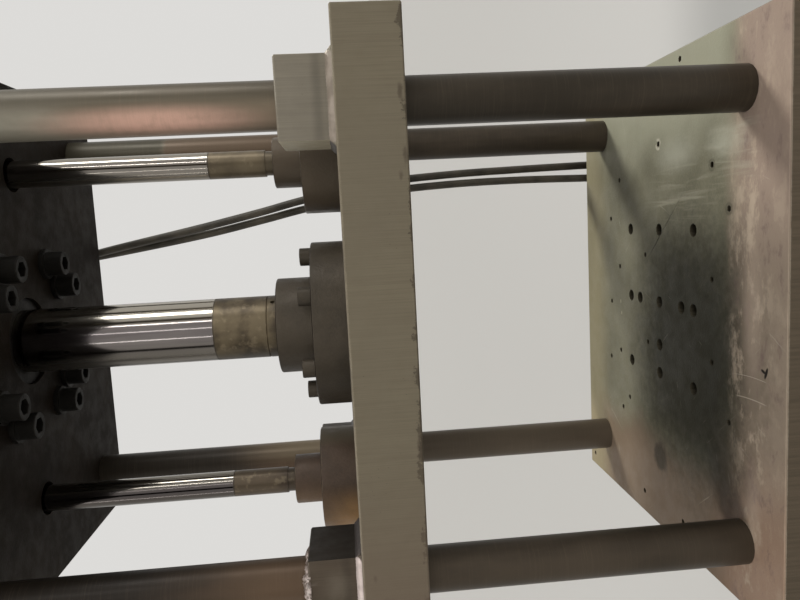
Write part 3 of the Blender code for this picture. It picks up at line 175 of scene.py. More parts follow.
class Shades:
    """A material under construction. Coordinates are metres on the press at rest."""

    def __init__(self, name):
        self.material = bpy.data.materials.new(name)
        self.material.use_nodes = True
        self.nodes = self.material.node_tree.nodes
        self.links = self.material.node_tree.links
        self.shader = self.nodes["Principled BSDF"]
        self.place = self.nodes.new("ShaderNodeTexCoord").outputs["Object"]
        self.geometry = self.nodes.new("ShaderNodeNewGeometry")
        self.fine_noise = None

    def link(self, value, socket):
        if isinstance(value, bpy.types.NodeSocket):
            self.links.new(value, socket)
        elif isinstance(value, (int, float)):
            socket.default_value = value
        else:
            colour = tuple(value)
            size = len(socket.default_value)
            socket.default_value = colour + (1.0,) * (size - len(colour))

    def math(self, operation, *values):
        node = self.nodes.new("ShaderNodeMath")
        node.operation = operation
        for value, socket in zip(values, node.inputs):
            self.link(value, socket)
        return node.outputs[0]

    def both(self, first, *others):
        for other in others:
            first = self.math("MULTIPLY", first, other)
        return first

    def either(self, first, second):
        return self.math("MAXIMUM", first, second)

    def rest(self, mask):
        """What a mask leaves."""
        return self.math("SUBTRACT", 1.0, mask)

    def wander(self, value, noise, depth):
        """The value shifted by a noise, so that what is read from it gets an uneven edge."""
        return self.math("MULTIPLY_ADD", noise, depth, value)

    def split(self, vector):
        node = self.nodes.new("ShaderNodeSeparateXYZ")
        self.link(vector, node.inputs[0])
        return node.outputs

    def stretched(self, scale, offset=(0.0, 0.0, 0.0)):
        node = self.nodes.new("ShaderNodeMapping")
        self.link(self.place, node.inputs["Vector"])
        node.inputs["Scale"].default_value = scale
        node.inputs["Location"].default_value = offset
        return node.outputs[0]

    def turned(self, degrees, scale):
        """The place turned about the vertical, then stretched."""
        node = self.nodes.new("ShaderNodeVectorRotate")
        node.rotation_type = "Z_AXIS"
        self.link(self.place, node.inputs["Vector"])
        node.inputs["Angle"].default_value = math.radians(degrees)
        stretch = self.nodes.new("ShaderNodeVectorMath")
        stretch.operation = "MULTIPLY"
        self.link(node.outputs[0], stretch.inputs[0])
        stretch.inputs[1].default_value = scale
        return stretch.outputs[0]

    def noise(self, scale, detail=4.0, roughness=0.55, vector=None, distortion=0.0):
        node = self.nodes.new("ShaderNodeTexNoise")
        self.link(vector if vector is not None else self.place, node.inputs["Vector"])
        node.inputs["Scale"].default_value = scale
        node.inputs["Detail"].default_value = detail
        node.inputs["Roughness"].default_value = roughness
        node.inputs["Distortion"].default_value = distortion
        return node.outputs["Fac"]

    def fine(self):
        if self.fine_noise is None:
            self.fine_noise = self.noise(45.0, detail=5.0, roughness=0.6)
        return self.fine_noise

    def spots(self, scale):
        node = self.nodes.new("ShaderNodeTexVoronoi")
        self.link(self.place, node.inputs["Vector"])
        node.inputs["Scale"].default_value = scale
        return node.outputs["Distance"]

    def band(self, value, low, high, out_low=0.0, out_high=1.0, smooth=True):
        """value read between low and high, as a share from out_low to out_high."""
        node = self.nodes.new("ShaderNodeMapRange")
        node.interpolation_type = "SMOOTHSTEP" if smooth else "LINEAR"
        self.link(value, node.inputs["Value"])
        node.inputs["From Min"].default_value = low
        node.inputs["From Max"].default_value = high
        node.inputs["To Min"].default_value = out_low
        node.inputs["To Max"].default_value = out_high
        return node.outputs[0]

    def fall(self, value, low, high):
        """1 where the value is under low, 0 where it is over high."""
        return self.band(value, low, high, 1.0, 0.0)

    def mix(self, share, first, second):
        node = self.nodes.new("ShaderNodeMix")
        node.data_type = "RGBA"
        self.link(share, node.inputs["Factor"])
        self.link(first, node.inputs[6])
        self.link(second, node.inputs[7])
        return node.outputs[2]

    def layers(self, colour, *layers):
        """The colour under layers of (where, how much, colour), each laid over those before it."""
        for mask, share, tone in layers:
            if share != 1.0:
                mask = self.math("MULTIPLY", mask, share)
            colour = self.mix(mask, colour, tone)
        return colour

    def round_spot(self, centre, radii, outer=1.0, inner=0.4, turned=0.0, ragged=0.0):
        """1 in an ellipsoid about the centre, falling to 0 at its outside, with a ragged edge."""
        node = self.nodes.new("ShaderNodeMapping")
        node.vector_type = "TEXTURE"
        self.link(self.place, node.inputs["Vector"])
        node.inputs["Location"].default_value = centre
        node.inputs["Rotation"].default_value = (0.0, 0.0, math.radians(turned))
        node.inputs["Scale"].default_value = radii
        length = self.nodes.new("ShaderNodeVectorMath")
        length.operation = "LENGTH"
        self.link(node.outputs[0], length.inputs[0])
        away = length.outputs["Value"]
        if ragged:
            away = self.math("ADD", away, self.math("MULTIPLY_ADD", self.fine(), ragged, -ragged / 2))
        return self.fall(away, inner, outer)

    def bed_spot(self, across, along, half_width, half_depth, outer=1.0, inner=0.4, turned=0.0, ragged=0.0):
        return self.round_spot((across, along, BED_TOP), (half_width, half_depth, BED_MARK_DEPTH),
                               outer, inner, turned, ragged)

    def ring(self, centre, radius, width):
        """1 on a ring about a vertical axis, falling to 0 at that width from it."""
        x, y, _ = self.split(self.place)
        across = self.math("POWER", self.math("SUBTRACT", x, centre[0]), 2.0)
        along = self.math("POWER", self.math("SUBTRACT", y, centre[1]), 2.0)
        away = self.math("SQRT", self.math("ADD", across, along))
        off = self.math("ABSOLUTE", self.math("SUBTRACT", away, radius))
        return self.fall(off, width * 0.4, width)

    def facing(self):
        """The flat face's direction, as x, y and z."""
        return self.split(self.geometry.outputs["True Normal"])

    def upward(self):
        return self.band(self.facing()[2], 0.5, 0.9)

    def sideways(self):
        """The way a round surface faces: -1 to the press's left, 1 to its right."""
        return self.split(self.geometry.outputs["Normal"])[0]

    def edges(self, radius, low=0.02, high=0.16):
        """1 along sharp edges, 0 on flat and gently curved faces."""
        rounded = self.nodes.new("ShaderNodeBevel")
        rounded.samples = 4
        rounded.inputs["Radius"].default_value = radius
        dot = self.nodes.new("ShaderNodeVectorMath")
        dot.operation = "DOT_PRODUCT"
        self.link(rounded.outputs[0], dot.inputs[0])
        self.link(self.geometry.outputs["True Normal"], dot.inputs[1])
        return self.band(self.rest(dot.outputs["Value"]), low, high)

    def bump(self, height, distance, strength=1.0):
        node = self.nodes.new("ShaderNodeBump")
        node.inputs["Strength"].default_value = strength
        node.inputs["Distance"].default_value = distance
        self.link(height, node.inputs["Height"])
        self.links.new(node.outputs[0], self.shader.inputs["Normal"])

    def set(self, **values):
        for name, value in values.items():
            self.link(value, self.shader.inputs[INPUT_NAMES[name]])
        return self.material


def srgb(red, green, blue):
    """A colour written as 0 to 255 in the picture, as the linear value a shader takes."""
    shares = []
    for value in (red, green, blue):
        value /= 255.0
        shares.append(value / 12.92 if value <= 0.04045 else ((value + 0.055) / 1.055) ** 2.4)
    return tuple(shares)


def dimmed(colour, share):
    return tuple(value * share for value in colour)


def worn(name, dark, light, metallic, roughness, specular=0.3, mottle=7.0, grain=0.0004, edge=None,
         edge_share=0.6, edge_radius=0.004):
    """A used surface: two tones in soft patches and fine specks, uneven gloss, rubbed edges."""
    shades = Shades(name)
    broad = shades.band(shades.noise(mottle, detail=3.0), 0.32, 0.68)
    specks = shades.band(shades.noise(160.0, detail=3.0, roughness=0.7), 0.35, 0.65)
    share = shades.math("ADD", shades.math("MULTIPLY", broad, 0.6), shades.math("MULTIPLY", specks, 0.25))
    share = shades.wander(share, shades.fine(), 0.2)
    colour = shades.mix(share, dark, light)
    if edge is not None:
        rubbed = shades.both(shades.edges(edge_radius), shades.band(shades.fine(), 0.35, 0.62))
        colour = shades.layers(colour, (rubbed, edge_share, edge))
    gloss = shades.band(shades.noise(24.0), 0.3, 0.7, roughness - 0.08, roughness + 0.08)
    shades.bump(specks, grain, 0.5)
    shades.set(base_color=colour, metallic=metallic, roughness=gloss, specular=specular)
    return shades, colour


def bed_steel():
    """Oil and a painted shadow in the middle, rubbed pale along the front, dragged and scratched at the
    right.
    """
    shades, colour = worn("bed_steel", srgb(98, 95, 78), srgb(128, 124, 105), 0.1, 0.5,
                          specular=0.08, mottle=4.5, grain=0.0003)
    x, y, z = shades.split(shades.place)
    soft = shades.noise(5.0, detail=5.0)
    # broad tones, partly the steel's own and partly painted light and shade: pinkish left and front, purplish
    # front right, pale far right and rear
    left = shades.fall(shades.wander(x, soft, 0.16), -0.38, -0.26)
    front = shades.fall(shades.wander(y, soft, 0.10), -0.36, -0.28)
    far_right = shades.both(shades.band(shades.wander(x, soft, 0.2), 0.44, 0.62),
                            shades.band(y, -0.42, -0.30))
    near_right = shades.both(shades.band(x, 0.05, 0.35), shades.fall(y, -0.44, -0.36))
    near_left = shades.both(shades.fall(x, -0.50, -0.20), shades.fall(y, -0.40, -0.25))
    # oil and a painted shadow of the platen over the middle of the bed
    oil_and_painted_shadow = shades.bed_spot(-0.12, -0.17, 0.50, 0.42, 1.0, 0.3, ragged=0.35)
    colour = shades.layers(
        colour,
        (left, 0.85, srgb(114, 97, 82)),
        (front, 0.85, srgb(150, 134, 118)),
        (far_right, 0.75, srgb(166, 164, 144)),
        (near_right, 0.6, srgb(132, 114, 104)),
        (near_left, 0.5, srgb(158, 126, 104)),
        (oil_and_painted_shadow, 0.88, srgb(43, 41, 28)),
        (shades.band(y, 0.34, 0.50), 0.7, srgb(150, 140, 110)),
    )
    # rubbed pale patches on the front strip
    patches = shades.noise(1.0, detail=9.0, roughness=0.68, vector=shades.stretched((9.0, 17.0, 9.0)))
    dark_patches = shades.both(front, shades.band(patches, 0.46, 0.33))
    pale_patches = shades.both(front, shades.band(y, -0.53, -0.45, 0.35, 1.0),
                               shades.band(patches, 0.50, 0.63), shades.band(x, 0.10, 0.45, 1.0, 0.5))
    colour = shades.layers(
        colour,
        (dark_patches, 0.70, srgb(110, 92, 87)),
        (pale_patches, 0.75, srgb(184, 168, 148)),
        (shades.bed_spot(0.03, -0.445, 0.20, 0.040, 1.2, 0.2, ragged=1.2), 0.4, srgb(184, 166, 148)),
        (shades.bed_spot(-0.43, -0.455, 0.10, 0.035, 1.2, 0.2, ragged=1.2), 0.4, srgb(184, 166, 148)),
    )
    # streaks dragged across the right half, scuffs beside them, and fine scratches three ways
    drag = shades.noise(1.0, detail=5.0, distortion=1.2,
                        vector=shades.stretched((38.0, 2.6, 3.0), (0.0, 1.7, 0.0)))
    zone = shades.either(shades.bed_spot(0.30, -0.12, 0.11, 0.24), shades.bed_spot(0.40, -0.36, 0.16, 0.14))
    scuffed = shades.either(shades.bed_spot(0.405, -0.335, 0.060, 0.12, 1.0, 0.0, ragged=0.7),
                            shades.bed_spot(0.40, -0.10, 0.07, 0.16, 1.0, 0.0, ragged=0.4))
    colour = shades.layers(
        colour,
        (shades.both(zone, shades.band(drag, 0.46, 0.70)), 0.5, srgb(168, 163, 145)),
        (scuffed, 0.5, srgb(180, 178, 162)),
    )
    for degrees in SCRATCH_DEGREES:
        scratch = shades.noise(1.0, detail=3.0, distortion=0.6,
                               vector=shades.turned(degrees, (130.0, 5.0, 5.0)))
        thin = shades.both(shades.band(scratch, 0.70, 0.76), shades.band(soft, 0.42, 0.62))
        colour = shades.layers(colour, (thin, 0.4, srgb(186, 180, 162)))
    # a long double arc scratch, an oil ring, the worn rim of one hole and painted shade round the rims of
    # others
    arc = shades.either(shades.ring((-0.765, -0.47), 0.600, 0.0018),
                        shades.ring((-0.715, -0.47), 0.600, 0.0012))
    arc = shades.both(arc, shades.bed_spot(-0.14, -0.44, 0.06, 0.075, 1.0, 0.7))
    rim = shades.both(shades.ring(WORN_HOLE, 0.0125, 0.006), shades.band(shades.fine(), 0.42, 0.56))
    colour = shades.layers(
        colour,
        (arc, 0.55, srgb(185, 175, 158)),
        (shades.bed_spot(-0.452, 0.0, 0.045, 0.045, 1.15, 0.6, ragged=0.5), 0.9, srgb(62, 55, 44)),
        (rim, 0.8, srgb(196, 190, 172)),
    )
    # painted shade round the mouths of these holes
    for centre in HOLES_WITH_PAINTED_SHADE:
        colour = shades.layers(colour, (shades.ring(centre, 0.011, 0.006), 0.35, srgb(60, 56, 45)))
    # a chip in two strokes, two specks, and a painted shadow beside the front left column
    chip, speck = srgb(24, 18, 13), srgb(172, 166, 146)
    colour = shades.layers(
        colour,
        (shades.bed_spot(-0.096, -0.498, 0.017, 0.0055, 1.0, 0.6, -22.0, 0.3), 1.0, chip),
        (shades.bed_spot(-0.094, -0.488, 0.011, 0.0045, 1.0, 0.6, 70.0, 0.3), 1.0, chip),
        (shades.bed_spot(-0.065, 0.268, 0.008, 0.006, 1.0, 0.5, ragged=0.6), 0.6, speck),
        (shades.bed_spot(-0.028, 0.274, 0.008, 0.006, 1.0, 0.5, ragged=0.6), 0.6, speck),
        # painted shadow of the front left column on the bed
        (shades.bed_spot(-0.37, -0.36, 0.19, 0.12, 1.1, 0.1, ragged=0.4), 0.55, srgb(58, 50, 40)),
    )
    # the sawn sides are darker and browner, with a bright rubbed top edge; the holes' walls are oily
    sides = shades.rest(shades.upward())
    saw = shades.noise(1.0, detail=2.0, vector=shades.stretched((240.0, 240.0, 5.0)))
    side_colour = shades.mix(shades.band(saw, 0.3, 0.7), srgb(80, 71, 59), srgb(90, 80, 67))
    inside = shades.both(shades.fall(shades.math("ABSOLUTE", x), 0.62, 0.65),
                         shades.fall(shades.math("ABSOLUTE", y), 0.52, 0.55))
    rubbed = shades.both(shades.edges(0.004), shades.band(z, BED_TOP - 0.02, BED_TOP - 0.004),
                         shades.rest(inside), shades.band(shades.fine(), 0.3, 0.55))
    colour = shades.layers(
        colour,
        (sides, 1.0, side_colour),
        (shades.both(sides, inside), 1.0, srgb(66, 61, 50)),
        (rubbed, 0.7, srgb(186, 176, 158)),
    )
    return shades.set(base_color=colour)


def sawn_plate(name, base, dark, streak, metallic=0.15):
    """A plate's saw-cut side: fine upright lines, broad soft tone and dark scuffs."""
    shades = Shades(name)
    fine_saw = shades.noise(1.0, detail=2.0, vector=shades.stretched((520.0, 520.0, 5.0)))
    wide_saw = shades.noise(1.0, detail=3.0, vector=shades.stretched((70.0, 70.0, 3.0), (3.1, 0.0, 0.0)))
    lines = shades.wander(shades.math("MULTIPLY", fine_saw, 0.75), wide_saw, 0.25)
    specks = shades.both(shades.band(shades.spots(95.0), 0.10, 0.03),
                         shades.band(shades.noise(11.0, detail=2.0), 0.52, 0.64))
    colour = shades.layers(
        shades.mix(shades.band(lines, 0.32, 0.66, 0.35, 1.0), dark, base),
        (shades.band(shades.noise(3.2), 0.40, 0.68), 0.45, streak),
        (specks, 1.0, dimmed(dark, 0.45)),
    )
    gloss = shades.band(shades.noise(30.0), 0.3, 0.7, 0.46, 0.62)
    shades.bump(lines, 0.0006, 0.35)
    shades.set(base_color=colour, metallic=metallic, roughness=gloss, specular=0.3)
    return shades, colour


def platen_steel():
    """Sawn sides, nicked along the bottom, rubbed and with a painted highlight along the top edge, with a
    dusty top.
    """
    shades, colour = sawn_plate("platen_steel", srgb(108, 100, 83), srgb(96, 87, 72), srgb(101, 93, 78))
    x, _, z = shades.split(shades.place)
    reach = shades.band(shades.noise(22.0, detail=6.0, roughness=0.75), 0.46, 0.72, 0.0, 0.020)
    height = shades.math("SUBTRACT", z, PLATEN_BOTTOM)
    nicks = shades.fall(shades.math("SUBTRACT", height, reach), -0.001, 0.003)
    colour = shades.layers(colour, (nicks, 0.65, srgb(54, 46, 36)))
    for across, up, half_width, half_height in PLATEN_SCUFFS:
        scuff = shades.round_spot((across, PLATEN_FRONT, up), (half_width, PLATEN_SCUFF_DEPTH, half_height),
                                  1.3, 0.1, ragged=2.6)
        colour = shades.layers(colour, (scuff, 0.6, srgb(58, 48, 38)))
    dust = shades.mix(shades.band(shades.noise(6.0, detail=6.0), 0.4, 0.62), srgb(84, 76, 64),
                      srgb(118, 108, 92))
    # the top edges are rubbed and also carry a painted highlight
    rubbed = shades.both(shades.edges(0.004, 0.01, 0.10), shades.band(shades.fine(), 0.36, 0.56),
                         shades.band(z, PLATEN_BOTTOM + 0.03, PLATEN_TOP - 0.01))
    colour = shades.layers(
        colour,
        (shades.fall(x, -0.66, -0.10), 0.8, srgb(98, 84, 71)),
        (shades.upward(), 1.0, dust),
        (rubbed, 0.85, srgb(184, 172, 146)),
    )
    return shades.set(base_color=colour)


def block_steel(name, base, dark, light, edge):
    """A guide block: sawn faces, a soft painted shadow band near its foot and a dark band at its top, rubbed
    corners.
    """
    shades, colour = sawn_plate(name, base, dark, light, metallic=0.3)
    z = shades.split(shades.place)[2]
    height = shades.wander(shades.math("SUBTRACT", z, PLATEN_TOP), shades.noise(18.0), 0.008)
    # painted shadow line across the lower third of the block
    foot = shades.both(shades.band(height, 0.022, 0.034), shades.fall(height, 0.036, 0.052))
    rubbed = shades.both(shades.edges(0.0035), shades.band(shades.fine(), 0.3, 0.55))
    colour = shades.layers(
        colour,
        (foot, 0.35, dimmed(dark, 0.5)),
        (shades.band(height, 0.112, 0.130), 0.3, dimmed(dark, 0.5)),
        (rubbed, 0.6, edge),
    )
    return shades, colour


def clean_block():
    """The blocks on the right, wiped clean, with painted light on the left side."""
    shades, colour = block_steel("block_steel", srgb(125, 118, 104), srgb(107, 101, 90), srgb(115, 109, 97),
                                 srgb(164, 156, 134))
    # painted light on the blocks' left sides
    painted_light_left_side = shades.fall(shades.facing()[0], -0.9, -0.6)
    return shades.set(base_color=shades.layers(colour, (painted_light_left_side, 0.7, srgb(196, 186, 158))))


def oily_block():
    """The blocks on the left, dark with oil, with grease run a little way down from the top."""
    shades, colour = block_steel("oily_block_steel", srgb(82, 72, 60), srgb(70, 61, 51), srgb(74, 64, 53),
                                 srgb(96, 86, 72))
    x, _, z = shades.split(shades.place)
    runs = shades.noise(1.0, detail=3.0, vector=shades.stretched((60.0, 60.0, 6.0)))
    depth = shades.math("ADD", z, shades.band(runs, 0.40, 0.72, 0.0, 0.055))
    drips = shades.both(shades.band(depth, PLATEN_TOP + 0.122, PLATEN_TOP + 0.134),
                        shades.band(x, -0.47, -0.50))
    pale = shades.round_spot((-0.485, -0.51, 1.690), (0.040, 0.05, 0.030), 1.3, 0.0, ragged=0.7)
    colour = shades.layers(
        colour,
        # painted shade on the blocks' right sides
        (shades.band(shades.facing()[0], 0.6, 0.9), 0.75, srgb(26, 22, 17)),
        (pale, 0.4, srgb(120, 112, 98)),
        (drips, 0.7, srgb(150, 138, 130)),
    )
    return shades.set(base_color=colour)


def column_steel():
    """Four columns in one material, each with its own wear, told apart by where they stand."""
    shades = Shades("column_steel")
    x, y, z = shades.split(shades.place)
    aside = shades.sideways()
    turned = shades.noise(1.0, detail=3.0, vector=shades.stretched((10.0, 10.0, 420.0)))
    patch = shades.noise(1.0, detail=5.0, vector=shades.stretched((9.0, 9.0, 3.2)))
    left, right = shades.fall(x, 0.0, 0.1), shades.band(x, 0.0, 0.1)
    front, rear = shades.fall(y, -0.3, -0.2), shades.band(y, 0.2, 0.3)
    front_left, front_right = shades.both(left, front), shades.both(right, front)
    rear_left, rear_right = shades.both(left, rear), shades.both(right, rear)
    over_platen, under_platen = shades.band(z, 1.52, 1.62), shades.fall(z, 1.52, 1.62)
    below = shades.mix(shades.band(patch, 0.35, 0.65), srgb(56, 49, 40), srgb(73, 64, 53))
    brown = shades.mix(shades.band(patch, 0.38, 0.62), srgb(110, 98, 82), srgb(126, 112, 94))
    olive = shades.mix(shades.band(patch, 0.38, 0.62), srgb(120, 115, 102), srgb(146, 140, 125))
    high = shades.wander(z, patch, 0.35)
    above = shades.layers(
        shades.mix(shades.band(high, 2.22, 2.48), brown, olive),
        (left, 0.9, srgb(80, 62, 46)),
        (shades.both(left, shades.band(high, 2.0, 2.3)), 0.9, srgb(38, 33, 27)),
    )
    # a copper-red tongue up the front right column, whose right side is darker with painted shade
    copper = shades.both(shades.round_spot((0.475, -0.47, 2.00), (0.050, 0.10, 0.28), 1.0, 0.15),
                         shades.band(shades.fine(), 0.2, 0.6, 0.7, 1.0),
                         shades.band(aside, -0.98, -0.75, 0.45, 1.0),
                         shades.band(turned, 0.35, 0.65, 0.9, 1.0))
    shaded = shades.both(front_right, shades.band(aside, -0.30, 0.35), shades.band(z, 1.55, 1.65))
    # the rear left one is darker near the top and dusty on its right; the rear right one is rubbed up to a
    # line
    dusty = shades.both(rear_left, shades.band(aside, -0.2, 0.6), shades.fall(z, 1.75, 2.10),
                        shades.band(z, 1.58, 1.66))
    line = shades.wander(z, shades.fine(), 0.03)
    rubbed = shades.both(rear_right, shades.fall(line, 2.18, 2.21), shades.band(z, 1.60, 1.66))
    colour = shades.layers(
        shades.mix(over_platen, below, above),
        (copper, 1.0, srgb(200, 160, 142)),
        (shaded, 0.85, srgb(72, 66, 54)),
        (shades.both(front_left, shades.band(z, 1.9, 2.2)), 0.6, srgb(18, 15, 12)),
        (shades.both(front_right, under_platen), 0.45, srgb(36, 33, 26)),
        (shades.both(front_left, shades.fall(z, 0.95, 1.20)), 0.25, srgb(30, 26, 20)),
        (shades.both(rear_left, under_platen), 0.45, srgb(104, 93, 79)),
        (shades.both(rear_left, shades.band(z, 1.85, 2.15)), 0.6, srgb(44, 39, 32)),
        (dusty, 0.8, srgb(120, 108, 88)),
        (rubbed, 0.8, srgb(80, 64, 49)),
        (shades.both(rear_right, shades.band(line, 2.18, 2.21)), 0.95, srgb(66, 62, 50)),
        (shades.band(turned, 0.5, 0.75), 0.05, srgb(150, 132, 112)),
    )
    shades.bump(turned, 0.0002, 0.08)
    gloss = shades.band(patch, 0.35, 0.65, 0.34, 0.46)
    return shades.set(base_color=colour, metallic=0.3, roughness=gloss, specular=0.25)


def rod_chrome():
    """Plated above a line, bare and stained below it. The ram's line is a little higher than the rods'."""
    shades = Shades("rod_chrome")
    x, _, z = shades.split(shades.place)
    aside = shades.sideways()
    on_rod = shades.band(shades.math("ABSOLUTE", x), 0.2, 0.3)
    on_left, on_right = shades.fall(x, -0.3, -0.2), shades.band(x, 0.2, 0.3)
    line = shades.band(on_rod, 0.0, 1.0, RAM_PLATED_FROM, ROD_PLATED_FROM, smooth=False)
    over = shades.math("SUBTRACT", z, line)
    plated = shades.band(over, -0.0008, 0.0008)
    film = shades.noise(1.0, detail=3.0, vector=shades.stretched((26.0, 26.0, 2.0)))
    # painted reflection on the plating: darker where it faces left, a bright band where it faces right,
    # darker on the left rod and brighter on the right one
    chrome = shades.layers(
        shades.mix(shades.band(film, 0.35, 0.65), srgb(110, 104, 104), srgb(130, 124, 121)),
        (shades.fall(aside, -0.75, 0.1), 0.75, srgb(110, 105, 94)),
        (shades.band(aside, 0.35, 0.6), 0.75, srgb(184, 178, 164)),
        (on_left, 0.55, srgb(66, 61, 58)),
        (on_right, 0.6, srgb(146, 140, 130)),
    )
    patch = shades.noise(16.0, detail=6.0)
    bare = shades.layers(
        shades.mix(shades.band(patch, 0.36, 0.62), srgb(70, 60, 46), srgb(106, 94, 73)),
        (on_left, 0.6, srgb(72, 60, 51)),
        (on_right, 0.4, srgb(116, 104, 84)),
        (shades.band(shades.noise(48.0), 0.55, 0.68), 0.35, srgb(142, 128, 104)),
        (shades.fall(z, 1.80, 1.86), 0.45, srgb(44, 40, 33)),
        # painted shade on the left side of the ram's bare length
        (shades.both(shades.fall(aside, -0.95, -0.45), shades.rest(on_rod)), 0.6, srgb(46, 42, 34)),
        (shades.band(over, -0.0045, -0.002), 0.6, srgb(40, 35, 28)),
    )
    shine = shades.band(aside, -0.8, -0.25, DULL_PLATED_ROUGHNESS, PLATED_ROUGHNESS)
    gloss = shades.mix(plated, (BARE_ROUGHNESS,) * 3, shine)
    shades.bump(shades.both(patch, shades.rest(plated)), 0.0008, 0.3)
    return shades.set(base_color=shades.mix(plated, bare, chrome), roughness=gloss, specular=0.4,
                      metallic=shades.band(plated, 0.0, 1.0, 0.5, 1.0))


def hub_steel():
    """The return rods' hubs: browned with rust at the front left, greyer at the right."""
    shades, colour = worn("hub_steel", srgb(66, 55, 46), srgb(88, 73, 61), 0.2, 0.5, mottle=9.0,
                          edge=srgb(132, 118, 98), edge_share=0.5)
    x, y, z = shades.split(shades.place)
    rust = shades.both(shades.fall(x, -0.52, -0.40), shades.band(y, -0.02, 0.05, 1.0, 0.4),
                       shades.band(z, PLATEN_TOP + 0.015, PLATEN_TOP + 0.11, 1.0, 0.25),
                       shades.band(shades.noise(13.0, detail=5.0), 0.3, 0.62, 0.6, 1.0))
    colour = shades.layers(
        colour,
        (shades.band(x, -0.1, 0.1), 0.7, srgb(98, 88, 73)),
        (rust, 1.0, srgb(160, 124, 80)),
        (shades.both(shades.band(x, -0.325, -0.300), shades.fall(x, -0.25, -0.2)), 0.6, srgb(122, 114, 96)),
    )
    return shades.set(base_color=colour)


def rubber():
    shades = Shades("hose_rubber")
    film = shades.band(shades.noise(11.0, detail=5.0), 0.35, 0.68)
    colour = shades.mix(film, srgb(54, 50, 42), srgb(82, 76, 65))
    shades.bump(shades.noise(260.0, detail=2.0), 0.0005, 0.4)
    return shades.set(base_color=colour, metallic=0.0, roughness=0.5, specular=0.45)


def weld(name, dark, light):
    """A weld run, wiped clean along the front, with painted shade round the other sides."""
    shades = Shades(name)
    clean = shades.mix(shades.band(shades.noise(28.0, detail=3.0), 0.35, 0.65), dark, light)
    # painted shade on every side of the run but the front
    painted_shade_sides = shades.band(shades.facing()[1], -0.35, -0.15)
    shades.bump(shades.noise(150.0), 0.0004, 0.3)
    return shades.set(base_color=shades.mix(painted_shade_sides, clean, dimmed(dark, 0.22)), metallic=0.2, roughness=0.5,
                      specular=0.3)


def grease():
    shades = Shades("grease")
    tone = shades.noise(70.0, detail=5.0, roughness=0.65)
    colour = shades.mix(shades.band(tone, 0.40, 0.62), srgb(92, 80, 72), srgb(190, 176, 168))
    shades.bump(tone, 0.002, 0.5)
    return shades.set(base_color=colour, metallic=0.0, roughness=0.35, specular=0.5)


# Surfaces that are only worn: tones, metallic and roughness, and what differs from the usual
WORN_LOOKS = {
    "crown_paint": (srgb(24, 19, 15), srgb(37, 31, 25), 0.0, 0.6,
                    {"specular": 0.08, "mottle": 5.0, "edge": srgb(86, 76, 66), "edge_share": 0.5}),
    "leg_paint": (srgb(50, 48, 44), srgb(72, 69, 63), 0.0, 0.55, {"mottle": 6.0, "edge": srgb(120, 108, 94)}),
    "black_steel": (srgb(62, 56, 47), srgb(79, 71, 60), 0.3, 0.46,
                    {"specular": 0.25, "mottle": 10.0, "edge": srgb(92, 84, 76), "edge_share": 0.45}),
    "dark_screw": (srgb(17, 16, 14), srgb(27, 25, 22), 0.0, 0.5,
                   {"specular": 0.12, "mottle": 10.0, "edge": srgb(58, 55, 50), "edge_share": 0.4,
                    "edge_radius": 0.002}),
    "bronze": (srgb(96, 76, 46), srgb(140, 112, 68), 1.0, 0.38,
               {"mottle": 12.0, "edge": srgb(190, 160, 104), "edge_share": 0.5}),
    "cylinder_paint": (srgb(50, 50, 48), srgb(72, 71, 67), 0.0, 0.45,
                       {"specular": 0.4, "mottle": 6.0, "edge": srgb(130, 120, 104)}),
    "pipe_steel": (srgb(92, 88, 80), srgb(128, 122, 112), 0.85, 0.38,
                   {"mottle": 18.0, "edge": srgb(168, 160, 146)}),
    "fitting_steel": (srgb(122, 116, 98), srgb(160, 152, 130), 0.9, 0.35,
                      {"mottle": 22.0, "edge": srgb(190, 184, 166)}),
    "tie": (srgb(126, 118, 100), srgb(158, 150, 130), 0.0, 0.8, {"specular": 0.2, "mottle": 30.0}),
}


def make_materials():
    materials = {
        "bed_steel": bed_steel(),
        "platen_steel": platen_steel(),
        "clean_block": clean_block(),
        "oily_block": oily_block(),
        "column_steel": column_steel(),
        "rod_chrome": rod_chrome(),
        "hub_steel": hub_steel(),
        "hose_rubber": rubber(),
        "clean_weld": weld("clean_weld", srgb(126, 116, 104), srgb(150, 139, 127)),
        "pale_weld": weld("pale_weld", srgb(166, 152, 146), srgb(192, 178, 172)),
        "dark_weld": weld("dark_weld", srgb(70, 62, 54), srgb(104, 94, 82)),
        "grease": grease(),
    }
    for name, (dark, light, metallic, roughness, more) in WORN_LOOKS.items():
        shades, _ = worn(name, dark, light, metallic, roughness, **more)
        materials[name] = shades.material
    return materials


def dress(frame, materials):
    slots = {part["node"]: part["material_slot"] for part in frame["record"]["subparts"]}
    for name, node in frame["nodes"].items():
        key = slots[name]
        if name.startswith("guide_block"):
            key = "oily_block" if name.endswith("left") else "clean_block"
        elif name.startswith("crown_screw") or name == "main_gland":
            key = "dark_screw"
        node.data.materials.clear()
        node.data.materials.append(materials[key])


# ---- shading and edges of the solids


